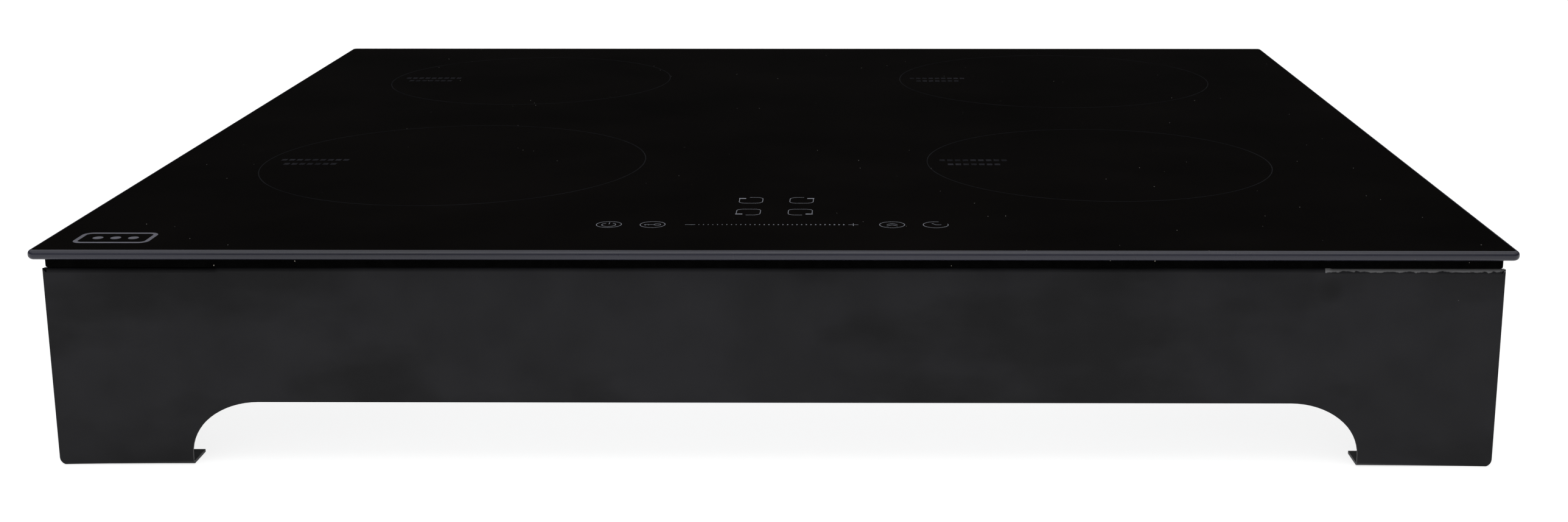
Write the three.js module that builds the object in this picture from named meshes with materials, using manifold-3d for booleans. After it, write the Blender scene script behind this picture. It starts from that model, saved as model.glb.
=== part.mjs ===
// Four-zone induction hob, 60 cm wide, standing in a folded sheet-metal stand.
// Millimetres, +Z up, front edge towards -Y, origin on the floor under the middle of the glass.
import * as THREE from "three";
import { mergeVertices } from "three/addons/utils/BufferGeometryUtils.js";
import Module from "manifold-3d";

const wasm = await Module();
wasm.setup();

// ---------------------------------------------------------------- driving dimensions

const GAP = 0.3; // clearance between pieces that rest on each other

const GLASS = { width: 590, depth: 520, thickness: 4, corner: 3, edge: 1.3 };

const STAND = {
  width: 582,
  depth: 509,
  height: 83.2,
  sheet: 1.2,
  topFlangeFront: 9.5, // leaves a 490 mm deep cut-out
  topFlangeSide: 11, // leaves a 560 mm wide cut-out
  endRelief: 0.5, // the top fold sits this much lower near the ends
  endReliefLength: 70,
  leg: 54.5,
  legStraight: 4.5,
  archRun: 28,
  archHeight: 26.8,
  footFlange: 15,
  footCorner: 3,
  cornerTab: 14,
};

const SEAL_GAP = 4.2; // from the stand's top fold to the underside of the glass

const PAN = { width: 556, depth: 486, floor: 35.4, sheet: 1, rim: 9.5, rimSheet: 1.1 };

const TRAY = { top: 75.4, sheet: 1.5, legWidth: 8 };

// Centre and marked radius of each cooking zone.
const ZONES = {
  front_left: { x: -158, y: -92.6, radius: 90.2 },
  front_right: { x: 148, y: -92.6, radius: 81.2 },
  rear_left: { x: -158.7, y: 139.7, radius: 81.2 },
  rear_right: { x: 148.6, y: 139.7, radius: 90.2 },
};

const COIL = { ferrite: 4, carrier: 2.6, winding: 3.4, mica: 0.5, eye: 22, sensorHole: 12 };
const SENSOR = { cap: 9, capHeight: 3.6, stem: 3.5, stemFoot: 72, spring: 6.4, springBore: 4.4 };

const FAN = { x: 190, y: 168, size: 92, height: 26, wall: 1.5, chamber: 41, inlet: 28, blades: 18 };

const BOARD = { underside: 42, thickness: 1.6 };

const CABLE_INLET = { x: 60, z: 52, bore: 5, body: 7.6, flange: 11 };
const CABLE_NOTCH = { width: 36, top: 64 };

const CLAMP = { sheet: 1.2, width: 30, bottom: 50, shelf: 76, y: 150, screwZ: 58, hole: 2.1, screw: 1.7 };

const TERMINAL = { x: 60, hingeY: 203, hingeZ: 33.8, width: 76, reach: 31, thickness: 2 };

const SIDES = { left: -1, right: 1 };
const ROUND = 20; // sides of an inner round piece

// Levels that follow from the dimensions above.
const glassUnderside = STAND.height + SEAL_GAP;
const panWallX = PAN.width / 2;
const panWallY = PAN.depth / 2;
const panFloorTop = PAN.floor + PAN.sheet;
const boardTop = BOARD.underside + BOARD.thickness;
const standX = STAND.width / 2;
const standY = STAND.depth / 2;

// ---------------------------------------------------------------- solids

/** A closed three.js geometry as a manifold-3d solid. */
function solid(geometry) {
  const bare = geometry.clone();
  bare.deleteAttribute("normal");
  bare.deleteAttribute("uv");
  const merged = mergeVertices(bare, 1e-4);
  return new wasm.Manifold(
    new wasm.Mesh({
      numProp: 3,
      vertProperties: merged.attributes.position.array,
      triVerts: new Uint32Array(merged.index.array),
    }),
  );
}

/** A manifold-3d solid as a three.js geometry. */
function geometryOf(made) {
  const mesh = made.getMesh();
  const geometry = new THREE.BufferGeometry();
  geometry.setAttribute("position", new THREE.BufferAttribute(mesh.vertProperties, 3));
  geometry.setIndex(new THREE.BufferAttribute(mesh.triVerts, 1));
  return geometry;
}

/** The union of closed geometries. */
function join(...geometries) {
  return geometryOf(geometries.map(solid).reduce((sum, one) => sum.add(one)));
}

/** The first geometry with the others cut out of it. */
function cut(base, ...tools) {
  return geometryOf(tools.map(solid).reduce((left, tool) => left.subtract(tool), solid(base)));
}

/** A block between two corners. */
function block([x0, y0, z0], [x1, y1, z1]) {
  const geometry = new THREE.BoxGeometry(x1 - x0, y1 - y0, z1 - z0);
  return geometry.translate((x0 + x1) / 2, (y0 + y1) / 2, (z0 + z1) / 2);
}

/** A block centred on (x, y), from z0 up to z1. */
function slab(x, y, width, depth, z0, z1) {
  return block([x - width / 2, y - depth / 2, z0], [x + width / 2, y + depth / 2, z1]);
}

/** An upright cylinder. */
function post(x, y, radius, z0, z1, sides = ROUND) {
  const geometry = new THREE.CylinderGeometry(radius, radius, z1 - z0, sides);
  return geometry.rotateX(Math.PI / 2).translate(x, y, (z0 + z1) / 2);
}

/** A cylinder lying along X. */
function pinX(x0, x1, y, z, radius, sides = 12) {
  const geometry = new THREE.CylinderGeometry(radius, radius, x1 - x0, sides);
  return geometry.rotateZ(Math.PI / 2).translate((x0 + x1) / 2, y, z);
}

/** A cylinder lying along Y. */
function pinY(x, y0, y1, z, radius, sides = ROUND) {
  const geometry = new THREE.CylinderGeometry(radius, radius, y1 - y0, sides);
  return geometry.translate(x, (y0 + y1) / 2, z);
}

/** An upright ring of rectangular section. */
function ring(x, y, inner, outer, z0, z1, sides = ROUND) {
  const section = [
    [inner, z0],
    [outer, z0],
    [outer, z1],
    [inner, z1],
    [inner, z0],
  ].map(([r, z]) => new THREE.Vector2(r, z));
  return new THREE.LatheGeometry(section, sides).rotateX(Math.PI / 2).translate(x, y, 0);
}

/** A rectangle about the origin with round corners. */
function roundedRectangle(width, depth, radius) {
  const [x, y] = [width / 2 - radius, depth / 2 - radius];
  const shape = new THREE.Shape();
  shape.absarc(x, y, radius, 0, Math.PI / 2);
  shape.absarc(-x, y, radius, Math.PI / 2, Math.PI);
  shape.absarc(-x, -y, radius, Math.PI, 1.5 * Math.PI);
  shape.absarc(x, -y, radius, 1.5 * Math.PI, 2 * Math.PI);
  return shape;
}

/** A flat shape raised from z0 to z1. */
function raised(shape, z0, z1, curveSegments = 5) {
  const settings = { depth: z1 - z0, bevelEnabled: false, curveSegments };
  return new THREE.ExtrudeGeometry(shape, settings).translate(0, 0, z0);
}

/** A rectangular frame: a rounded rectangle with a smaller one cut out. */
function frame(width, depth, inWidth, inDepth, corner, z0, z1) {
  const shape = roundedRectangle(width, depth, corner);
  shape.holes.push(roundedRectangle(inWidth, inDepth, Math.max(corner - 3, 1)));
  return raised(shape, z0, z1, 3);
}

// ---------------------------------------------------------------- finishes

const finish = (color, roughness, metalness) => ({ color, roughness, metalness });

const FINISHES = {
  glass: finish(0x0b0a09, 0.06, 0),
  powder_coat: finish(0x26262a, 0.55, 0.1),
  pan_steel: finish(0xb9babb, 0.4, 0.9),
  foam: finish(0x0c0c0c, 0.95, 0),
  aluminium: finish(0xb4b7ba, 0.35, 0.9),
  copper: finish(0x9c5a34, 0.4, 0.8),
  ferrite: finish(0x2a2826, 0.7, 0.1),
  mica: finish(0xcfc6ae, 0.6, 0),
  circuit_board: finish(0x1f5a35, 0.5, 0),
  black_plastic: finish(0x161617, 0.5, 0),
  white_plastic: finish(0xd8d6cf, 0.5, 0),
  capacitor: finish(0x8b2f24, 0.45, 0),
  steel: finish(0x9a9c9e, 0.35, 0.9),
  sensor_cap: finish(0xe5e2da, 0.6, 0),
};

const materials = Object.fromEntries(
  Object.entries(FINISHES).map(([name, look]) => [name, new THREE.MeshStandardMaterial(look)]),
);

/** Adds one named piece to a group. */
function add(group, name, finishName, geometry) {
  const mesh = new THREE.Mesh(geometry, materials[finishName]);
  mesh.name = name;
  group.add(mesh);
}

// ---------------------------------------------------------------- stand

/** The outline of a stand panel, length by height, with the arch between its two legs. */
function panelOutline(length) {
  const half = length / 2;
  const arch = half - STAND.leg;
  const arcEnd = arch - STAND.archRun;
  const arcHeight = STAND.archHeight - STAND.legStraight;
  const corner = STAND.footCorner;
  const shape = new THREE.Shape();
  shape.moveTo(-half + corner, 0);
  shape.lineTo(-arch, 0);
  shape.lineTo(-arch, STAND.legStraight);
  shape.absellipse(-arcEnd, STAND.legStraight, STAND.archRun, arcHeight, Math.PI, Math.PI / 2, true);
  shape.lineTo(arcEnd, STAND.archHeight);
  shape.absellipse(arcEnd, STAND.legStraight, STAND.archRun, arcHeight, Math.PI / 2, 0, true);
  shape.lineTo(arch, 0);
  shape.lineTo(half - corner, 0);
  shape.absarc(half - corner, corner, corner, -Math.PI / 2, 0, false);
  shape.lineTo(half, STAND.height - STAND.endRelief);
  shape.lineTo(half - STAND.endReliefLength, STAND.height - STAND.endRelief);
  shape.lineTo(half - STAND.endReliefLength, STAND.height);
  shape.lineTo(-half + STAND.endReliefLength, STAND.height);
  shape.lineTo(-half + STAND.endReliefLength, STAND.height - STAND.endRelief);
  shape.lineTo(-half, STAND.height - STAND.endRelief);
  shape.lineTo(-half, corner);
  shape.absarc(-half + corner, corner, corner, Math.PI, 1.5 * Math.PI, false);
  return shape;
}

/** A panel standing on X with its outer face on y = 0 and its folds running back to +Y. */
function panel(length, topFlange, footEnd, topEnd) {
  const { sheet, height, leg, endRelief, endReliefLength, footFlange } = STAND;
  const half = length / 2;
  const wall = raised(panelOutline(length), -sheet, 0, 8).rotateX(Math.PI / 2);
  const folds = [-1, 1].map((side) => {
    const ends = [side * (half - leg), side * (half - footEnd)].sort((a, b) => a - b);
    return block([ends[0], sheet / 2, 0], [ends[1], footFlange, sheet]);
  });
  const level = half - endReliefLength;
  const top = block([-level, sheet / 2, height - sheet], [level, topFlange, height]);
  const low = height - endRelief;
  const topEnds = [-1, 1].map((side) => {
    const ends = [side * (level - 0.1), side * (half - topEnd)].sort((a, b) => a - b);
    return block([ends[0], sheet / 2, low - sheet], [ends[1], topFlange, low]);
  });
  return join(wall, ...folds, top, ...topEnds);
}

/** Side panels also have upright tabs, folded in behind the front and rear panels. */
function sidePanel() {
  const { sheet, height, cornerTab, footFlange, topFlangeFront, topFlangeSide } = STAND;
  const length = STAND.depth - 2 * (sheet + GAP);
  const inset = sheet + GAP;
  const body = panel(length, topFlangeSide, footFlange - inset + GAP, topFlangeFront - inset + GAP);
  const tabs = [-1, 1].map((side) => {
    const face = (side * length) / 2;
    const ends = [face, face - side * sheet].sort((a, b) => a - b);
    return block([ends[0], sheet / 2, sheet + GAP], [ends[1], cornerTab, height - 2 * sheet - GAP]);
  });
  const feetClear = [-1, 1].map((side) => {
    const ends = [side * (length / 2 + 1), side * (length / 2 - footFlange + inset - GAP)];
    ends.sort((a, b) => a - b);
    return block([ends[0], sheet + GAP, -1], [ends[1], footFlange + 1, sheet + GAP]);
  });
  return cut(join(body, ...tabs), ...feetClear);
}

/** Upright ventilation slots in two groups, for a wall at y0..y1. */
function ventSlots(y0, y1, z0, z1, count, pitch, width) {
  const slots = [];
  for (const side of Object.values(SIDES)) {
    for (let i = 0; i < count; i += 1) {
      const x = side * FAN.x + (i - (count - 1) / 2) * pitch;
      slots.push(block([x - width / 2, y0, z0], [x + width / 2, y1, z1]));
    }
  }
  return slots;
}

function makeStand() {
  const stand = new THREE.Group();
  const flankEnd = STAND.sheet + GAP;
  const long = () => panel(STAND.width, STAND.topFlangeFront, flankEnd, flankEnd);

  add(stand, "stand_front", "powder_coat", long().translate(0, -standY, 0));

  const radius = CABLE_NOTCH.width / 2;
  const notchTop = CABLE_NOTCH.top - radius;
  const rear = cut(
    long().rotateZ(Math.PI).translate(0, standY, 0),
    slab(CABLE_INLET.x, standY, CABLE_NOTCH.width, 8, STAND.archHeight - 4, notchTop),
    pinY(CABLE_INLET.x, standY - 4, standY + 4, notchTop, radius),
    ...ventSlots(standY - 4, standY + 4, 40, 74, 10, 11, 4),
  );
  add(stand, "stand_rear", "powder_coat", rear);

  const side = sidePanel();
  add(stand, "stand_left", "powder_coat", side.clone().rotateZ(-Math.PI / 2).translate(-standX, 0, 0));
  add(stand, "stand_right", "powder_coat", side.clone().rotateZ(Math.PI / 2).translate(standX, 0, 0));
  return stand;
}

// ---------------------------------------------------------------- glass, seal and pan

function makeGlass() {
  const { width, depth, thickness, corner, edge } = GLASS;
  const shape = roundedRectangle(width - 2 * edge, depth - 2 * edge, corner - edge);
  const geometry = new THREE.ExtrudeGeometry(shape, {
    depth: thickness - 2 * edge,
    bevelThickness: edge,
    bevelSize: edge,
    bevelSegments: 2,
    curveSegments: 5,
  });
  return geometry.translate(0, 0, glassUnderside + edge);
}

function makeSeal() {
  const bottom = STAND.height + GAP;
  const top = glassUnderside - GAP - PAN.rimSheet - GAP;
  return frame(STAND.width - 3, STAND.depth - 3, 560.6, 490.6, 4, bottom, top);
}

/** Slots across a round inlet, each as long as the circle is wide there. */
function inletGrille(x, y, radius) {
  const slots = [];
  const pitch = 7;
  for (let offset = -3 * pitch; offset <= 3 * pitch; offset += pitch) {
    const length = 2 * Math.sqrt(radius * radius - offset * offset);
    slots.push(slab(x, y + offset, length, 3.5, PAN.floor - 1, panFloorTop + 1));
  }
  return slots;
}

function makePan() {
  const { width, depth, sheet, rim, rimSheet, floor } = PAN;
  const top = glassUnderside - GAP;
  const inWidth = width - 2 * sheet;
  const inDepth = depth - 2 * sheet;
  const shell = raised(roundedRectangle(width, depth, 4), floor, top, 3);
  const hollow = raised(roundedRectangle(inWidth, inDepth, 3), panFloorTop, top + 1, 3);
  const collar = frame(width + 2 * rim, depth + 2 * rim, width - 1, depth - 1, 5, top - rimSheet, top);

  const { hingeY, hingeZ } = TERMINAL;
  const earPlaces = [-1, 1].map((end) => TERMINAL.x + end * (TERMINAL.width / 2 + 1.6));
  const ears = earPlaces.map((x) => slab(x, hingeY, 1.4, 6, hingeZ - 2.4, floor + sheet / 2));
  const earHoles = earPlaces.map((x) => pinX(x - 2, x + 2, hingeY, hingeZ, 1.25));
  const screwHoles = clampPlaces().map(({ side, y }) => {
    const x = side * panWallX;
    return pinX(x - 4, x + 4, y, CLAMP.screwZ, CLAMP.hole);
  });

  return cut(
    join(shell, collar, ...ears),
    hollow,
    ...earHoles,
    ...screwHoles,
    slab(TERMINAL.x, hingeY + 18.5, TERMINAL.width - 14, 26, floor - 1, panFloorTop + 1),
    pinY(CABLE_INLET.x, panWallY - 4, panWallY + 4, CABLE_INLET.z, CABLE_INLET.body + 0.4),
    ...inletGrille(-FAN.x, FAN.y, FAN.inlet),
    ...inletGrille(FAN.x, FAN.y, FAN.inlet),
    ...ventSlots(-215, -175, floor - 1, panFloorTop + 1, 8, 12, 4),
    ...ventSlots(panWallY - 3, panWallY + 3, 44, 72, 8, 11, 4),
  );
}

/** A flanged bush in the pan's rear wall, for a mains lead to pass through. */
function makeGland() {
  const { bore, body, flange } = CABLE_INLET;
  const [inside, wall, outside] = [panWallY - 7, panWallY + GAP, panWallY + 2.5];
  const section = [
    [bore, inside],
    [body, inside],
    [body, wall],
    [flange, wall],
    [flange, outside],
    [bore, outside],
    [bore, inside],
  ].map(([r, y]) => new THREE.Vector2(r, y));
  return new THREE.LatheGeometry(section, 20).translate(CABLE_INLET.x, 0, CABLE_INLET.z);
}

function makeShell() {
  const shell = new THREE.Group();
  add(shell, "glass_top", "glass", makeGlass());
  add(shell, "foam_seal", "foam", makeSeal());
  add(shell, "bottom_pan", "pan_steel", makePan());
  add(shell, "cable_gland", "black_plastic", makeGland());
  return shell;
}

// ---------------------------------------------------------------- clamps that hold the hob in its stand

/** The four places along the side walls where a clamp sits. */
function clampPlaces() {
  return Object.entries(SIDES).flatMap(([sideName, side]) => [
    { name: `front_${sideName}`, side, y: -CLAMP.y },
    { name: `rear_${sideName}`, side, y: CLAMP.y },
  ]);
}

function makeClamps() {
  const clamps = new THREE.Group();
  const { sheet, width, bottom, shelf, screwZ } = CLAMP;
  const inner = panWallX + GAP;
  const outer = inner + 9.7;
  const lipTop = STAND.height - STAND.sheet - GAP;
  const strap = cut(
    join(
      block([inner, -width / 2, bottom], [inner + sheet, width / 2, shelf + sheet]),
      block([inner, -width / 2, shelf], [outer, width / 2, shelf + sheet]),
      block([outer - sheet, -width / 2, shelf], [outer, width / 2, lipTop]),
    ),
    pinX(inner - 2, inner + 4, 0, screwZ, CLAMP.hole),
  );
  const screw = join(
    pinX(panWallX - 5, inner + sheet + GAP + 0.5, 0, screwZ, CLAMP.screw),
    pinX(inner + sheet + GAP, inner + sheet + GAP + 2.2, 0, screwZ, 3.5),
  );
  for (const { name, side, y } of clampPlaces()) {
    const turn = side > 0 ? 0 : Math.PI;
    add(clamps, `hob_clamp_${name}`, "steel", strap.clone().rotateZ(turn).translate(0, y, 0));
    add(clamps, `clamp_screw_${name}`, "steel", screw.clone().rotateZ(turn).translate(0, y, 0));
  }
  return clamps;
}

// ---------------------------------------------------------------- coils

/** A sheet table on four legs that carries the two coils of one side. */
function coilTray(side) {
  const [near, far] = [8, 270];
  const [front, back] = [-221, 229];
  const { top, sheet, legWidth } = TRAY;
  const middle = (side * (near + far)) / 2;
  const plate = slab(middle, (front + back) / 2, far - near, back - front, top - sheet, top);
  const legs = [near + 4, far - 4].flatMap((x) =>
    [front + sheet, back - sheet].map((y) => {
      return slab(side * x, y, legWidth, 2 * sheet, panFloorTop + GAP, top - sheet / 2);
    }),
  );
  const stemHoles = Object.values(ZONES)
    .filter((zone) => Math.sign(zone.x) === side)
    .map((zone) => post(zone.x, zone.y, SENSOR.stem + 1.5, top - 5, top + 5, 16));
  return cut(join(plate, ...legs), ...stemHoles);
}

function makeCoil(name, { x, y, radius }) {
  const coil = new THREE.Group();
  const ferriteBottom = TRAY.top + GAP;
  const ferriteTop = ferriteBottom + COIL.ferrite;
  const carrierBottom = ferriteTop + GAP;
  const windingBottom = carrierBottom + COIL.carrier + GAP;
  const micaTop = glassUnderside - GAP;

  const bars = Array.from({ length: 8 }, (_, i) => {
    const bar = block([COIL.eye, -6, ferriteBottom], [radius - 9, 6, ferriteTop]);
    return bar.rotateZ((i * Math.PI) / 4).translate(x, y, 0);
  });
  const hub = ring(x, y, COIL.eye - 4, COIL.eye + 2, ferriteBottom, ferriteTop, 16);
  add(coil, `ferrite_star_${name}`, "ferrite", join(hub, ...bars));

  const carrier = ring(x, y, COIL.sensorHole, radius - 4, carrierBottom, carrierBottom + COIL.carrier);
  add(coil, `coil_carrier_${name}`, "white_plastic", carrier);
  const winding = ring(x, y, COIL.eye, radius - 8, windingBottom, windingBottom + COIL.winding);
  add(coil, `coil_winding_${name}`, "copper", winding);
  add(coil, `mica_disc_${name}`, "mica", ring(x, y, COIL.sensorHole, radius - 2, micaTop - COIL.mica, micaTop));
  return coil;
}

/** A temperature sensor on a stem, pressed up against the glass by a spring around the stem. */
function makeSensor(name, { x, y }) {
  const sensor = new THREE.Group();
  const capTop = glassUnderside - GAP;
  const capBottom = capTop - SENSOR.capHeight;
  const body = join(
    post(x, y, SENSOR.cap, capBottom, capTop, 20),
    post(x, y, SENSOR.stem, SENSOR.stemFoot, capBottom + 1, 12),
  );
  add(sensor, `temperature_sensor_${name}`, "sensor_cap", body);
  const spring = ring(x, y, SENSOR.springBore, SENSOR.spring, TRAY.top + GAP, capBottom - GAP, 12);
  add(sensor, `sensor_spring_${name}`, "steel", spring);
  return sensor;
}

function makeCoils() {
  const coils = new THREE.Group();
  for (const [sideName, side] of Object.entries(SIDES)) {
    add(coils, `coil_tray_${sideName}`, "aluminium", coilTray(side));
  }
  for (const [name, zone] of Object.entries(ZONES)) {
    coils.add(makeCoil(name, zone), makeSensor(name, zone));
  }
  return coils;
}

// ---------------------------------------------------------------- power electronics and cooling

/** A blower: air comes in through its floor and leaves through its mouth, towards the front. */
function makeFan(sideName, side) {
  const fan = new THREE.Group();
  const [x, y] = [side * FAN.x, FAN.y];
  const bottom = panFloorTop + GAP;
  const top = bottom + FAN.height;
  const [chamberBottom, chamberTop] = [bottom + FAN.wall, top - FAN.wall];
  const housing = cut(
    slab(x, y, FAN.size, FAN.size, bottom, top),
    post(x, y, FAN.chamber, chamberBottom, chamberTop, 32),
    post(x, y, FAN.inlet, bottom - 1, chamberBottom + 1),
    block([x - 32, y - FAN.size, chamberBottom], [x + 32, y, chamberTop]),
  );
  add(fan, `fan_housing_${sideName}`, "black_plastic", housing);

  const plateTop = chamberTop - 1.3;
  const bladeFoot = chamberBottom + 3.5;
  const blades = Array.from({ length: FAN.blades }, (_, i) => {
    const blade = block([-0.6, -4, bladeFoot], [0.6, 4, plateTop - 0.7]);
    const turn = (2 * Math.PI * i) / FAN.blades;
    return blade.rotateZ(side * 0.6).translate(0, 32, 0).rotateZ(turn).translate(x, y, 0);
  });
  const plate = post(x, y, 37, plateTop - 1.5, plateTop, 32);
  const hub = post(x, y, 16, bladeFoot, plateTop - 0.7, 20);
  add(fan, `fan_rotor_${sideName}`, "black_plastic", join(plate, hub, ...blades));
  return fan;
}

/** A flat circuit board on four spacers. */
function board(x, y, width, depth) {
  const spacers = [-1, 1].flatMap((i) =>
    [-1, 1].map((j) => {
      const [dx, dy] = [i * (width / 2 - 6), j * (depth / 2 - 6)];
      return post(x + dx, y + dy, 3, panFloorTop + GAP, BOARD.underside + 0.5, 8);
    }),
  );
  return join(slab(x, y, width, depth, BOARD.underside, boardTop), ...spacers);
}

function heatSink(x, y) {
  const [bottom, top] = [boardTop + GAP, 72];
  const base = slab(x, y, 60, 102, bottom, bottom + 4);
  const fins = Array.from({ length: 9 }, (_, i) => {
    return slab(x + (i - 4) * 7.2, y, 1.6, 102, bottom + 2, top);
  });
  return join(base, ...fins);
}

function makePower(sideName, side) {
  const power = new THREE.Group();
  add(power, `power_board_${sideName}`, "circuit_board", board(side * 166, 27, 192, 174));
  add(power, `heat_sink_${sideName}`, "aluminium", heatSink(side * FAN.x, 61));
  const bottom = boardTop + GAP;
  const blocks = [26, 21, 26].map((height, i) => {
    return slab(side * 118, 30 + i * 22, 32, 22.4, bottom, bottom + height);
  });
  add(power, `capacitor_bank_${sideName}`, "capacitor", join(...blocks));
  return power;
}

function makeMainsInput() {
  const mains = new THREE.Group();
  add(mains, "filter_board", "circuit_board", board(-2, 70, 100, 150));
  const choke = new THREE.TorusGeometry(14, 6, 8, 16).translate(-2, 40, boardTop + GAP + 6);
  add(mains, "filter_choke", "copper", choke);

  const blockY = TERMINAL.hingeY + 16;
  const wells = Array.from({ length: 5 }, (_, i) => {
    return slab(TERMINAL.x + (i - 2) * 13, blockY, 9, 12, 39, 47);
  });
  const ends = [-1, 1].map((end) => slab(TERMINAL.x + end * 34, blockY, 4, 22, panFloorTop + GAP, 56));
  const body = slab(TERMINAL.x, blockY, 72, 22, 40, 56);
  add(mains, "terminal_block", "white_plastic", cut(join(body, ...ends), ...wells));

  const { hingeY, hingeZ, width, reach, thickness } = TERMINAL;
  const [x0, x1] = [TERMINAL.x - width / 2, TERMINAL.x + width / 2];
  const plate = block([x0, hingeY, hingeZ - thickness / 2], [x1, hingeY + reach, hingeZ + thickness / 2]);
  const latchY = hingeY + reach - 1.5;
  const latch = slab(TERMINAL.x, latchY, 10, 1.2, hingeZ, hingeZ + 4.7);
  const barrel = pinX(x0, x1, hingeY, hingeZ, 1.3);
  const pins = pinX(x0 - 2.5, x1 + 2.5, hingeY, hingeZ, 0.9);
  add(mains, "terminal_cover", "black_plastic", join(plate, latch, barrel, pins));
  return mains;
}

function makeElectronics() {
  const electronics = new THREE.Group();
  for (const [sideName, side] of Object.entries(SIDES)) {
    electronics.add(makeFan(sideName, side), makePower(sideName, side));
  }
  electronics.add(makeMainsInput());
  return electronics;
}

// ---------------------------------------------------------------- touch controls

function makeControls() {
  const controls = new THREE.Group();
  const [x, y, width, depth] = [7, -196, 174, 64];
  const carrierBottom = TRAY.top + GAP;
  const carrierTop = glassUnderside - 0.5;
  const boardBottom = carrierBottom + 4.5;
  const posts = [-1, 1].flatMap((i) =>
    [-1, 1].map((j) => post(x + i * 76, y + j * 22, 3, carrierBottom + 1, boardBottom - GAP, 8)),
  );
  const box = cut(
    slab(x, y, width, depth, carrierBottom, carrierTop),
    slab(x, y, width - 3, depth - 3, carrierBottom + 1.5, carrierTop + 1),
  );
  add(controls, "touch_board_carrier", "black_plastic", join(box, ...posts));
  const touchBoardTop = boardBottom + BOARD.thickness;
  add(controls, "touch_board", "circuit_board", slab(x, y, width - 8, depth - 8, boardBottom, touchBoardTop));

  const padBottom = touchBoardTop + GAP;
  const pads = Array.from({ length: 14 }, (_, i) => {
    return slab((i - 6.5) * 10.5, -216, 5, 7, padBottom + 0.4, glassUnderside - GAP);
  });
  const strip = join(slab(0, -216, 146, 9, padBottom, padBottom + 0.8), ...pads);
  add(controls, "touch_contact_strip", "foam", strip);
  add(controls, "led_display", "black_plastic", slab(1.5, -183, 36, 30, padBottom, glassUnderside - 0.5));
  return controls;
}

// ---------------------------------------------------------------- the whole hob in its stand

const cooktop = new THREE.Group();
cooktop.add(makeStand(), makeShell(), makeClamps(), makeCoils(), makeElectronics(), makeControls());

export default cooktop;
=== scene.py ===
"""Looks for a four-zone induction hob that rests in a stand of folded sheet metal."""

import logging
import math
from dataclasses import dataclass, field
from enum import Enum
from typing import Iterable, Sequence

import bmesh
import bpy
from mathutils import Matrix, Vector


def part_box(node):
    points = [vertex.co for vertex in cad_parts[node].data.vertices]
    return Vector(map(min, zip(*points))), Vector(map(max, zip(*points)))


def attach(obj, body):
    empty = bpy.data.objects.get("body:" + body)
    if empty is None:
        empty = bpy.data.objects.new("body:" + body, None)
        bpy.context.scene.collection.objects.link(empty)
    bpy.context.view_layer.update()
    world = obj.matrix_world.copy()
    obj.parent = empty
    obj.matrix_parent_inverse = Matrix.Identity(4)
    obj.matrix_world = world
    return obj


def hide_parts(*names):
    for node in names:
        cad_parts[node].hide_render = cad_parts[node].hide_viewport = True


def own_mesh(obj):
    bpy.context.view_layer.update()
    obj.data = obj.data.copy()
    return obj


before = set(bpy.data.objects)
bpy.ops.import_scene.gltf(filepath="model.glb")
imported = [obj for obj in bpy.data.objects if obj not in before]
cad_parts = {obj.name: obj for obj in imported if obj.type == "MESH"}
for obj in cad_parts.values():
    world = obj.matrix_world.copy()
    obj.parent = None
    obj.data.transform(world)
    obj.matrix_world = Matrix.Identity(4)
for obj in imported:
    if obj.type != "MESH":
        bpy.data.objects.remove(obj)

LOG = logging.getLogger("hob")
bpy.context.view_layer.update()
MM = 0.001
TAU = 2 * math.pi
TINY = 1e-6
UPRIGHT_SECTION = Matrix.Rotation(math.pi / 2, 4, "X")

Point = tuple[float, float, float]
Color = tuple[float, float, float]


class Body(Enum):
    """The moving bodies that pieces ride on."""

    COOKTOP = "cooktop"
    FAN_LEFT = "fan_left"
    FAN_RIGHT = "fan_right"
    TERMINAL_DOOR = "terminal_door"


class Zone(Enum):
    """The four cooking zones."""

    FRONT_LEFT = "front_left"
    FRONT_RIGHT = "front_right"
    REAR_LEFT = "rear_left"
    REAR_RIGHT = "rear_right"


# ---------------------------------------------------------------- finishes


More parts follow.
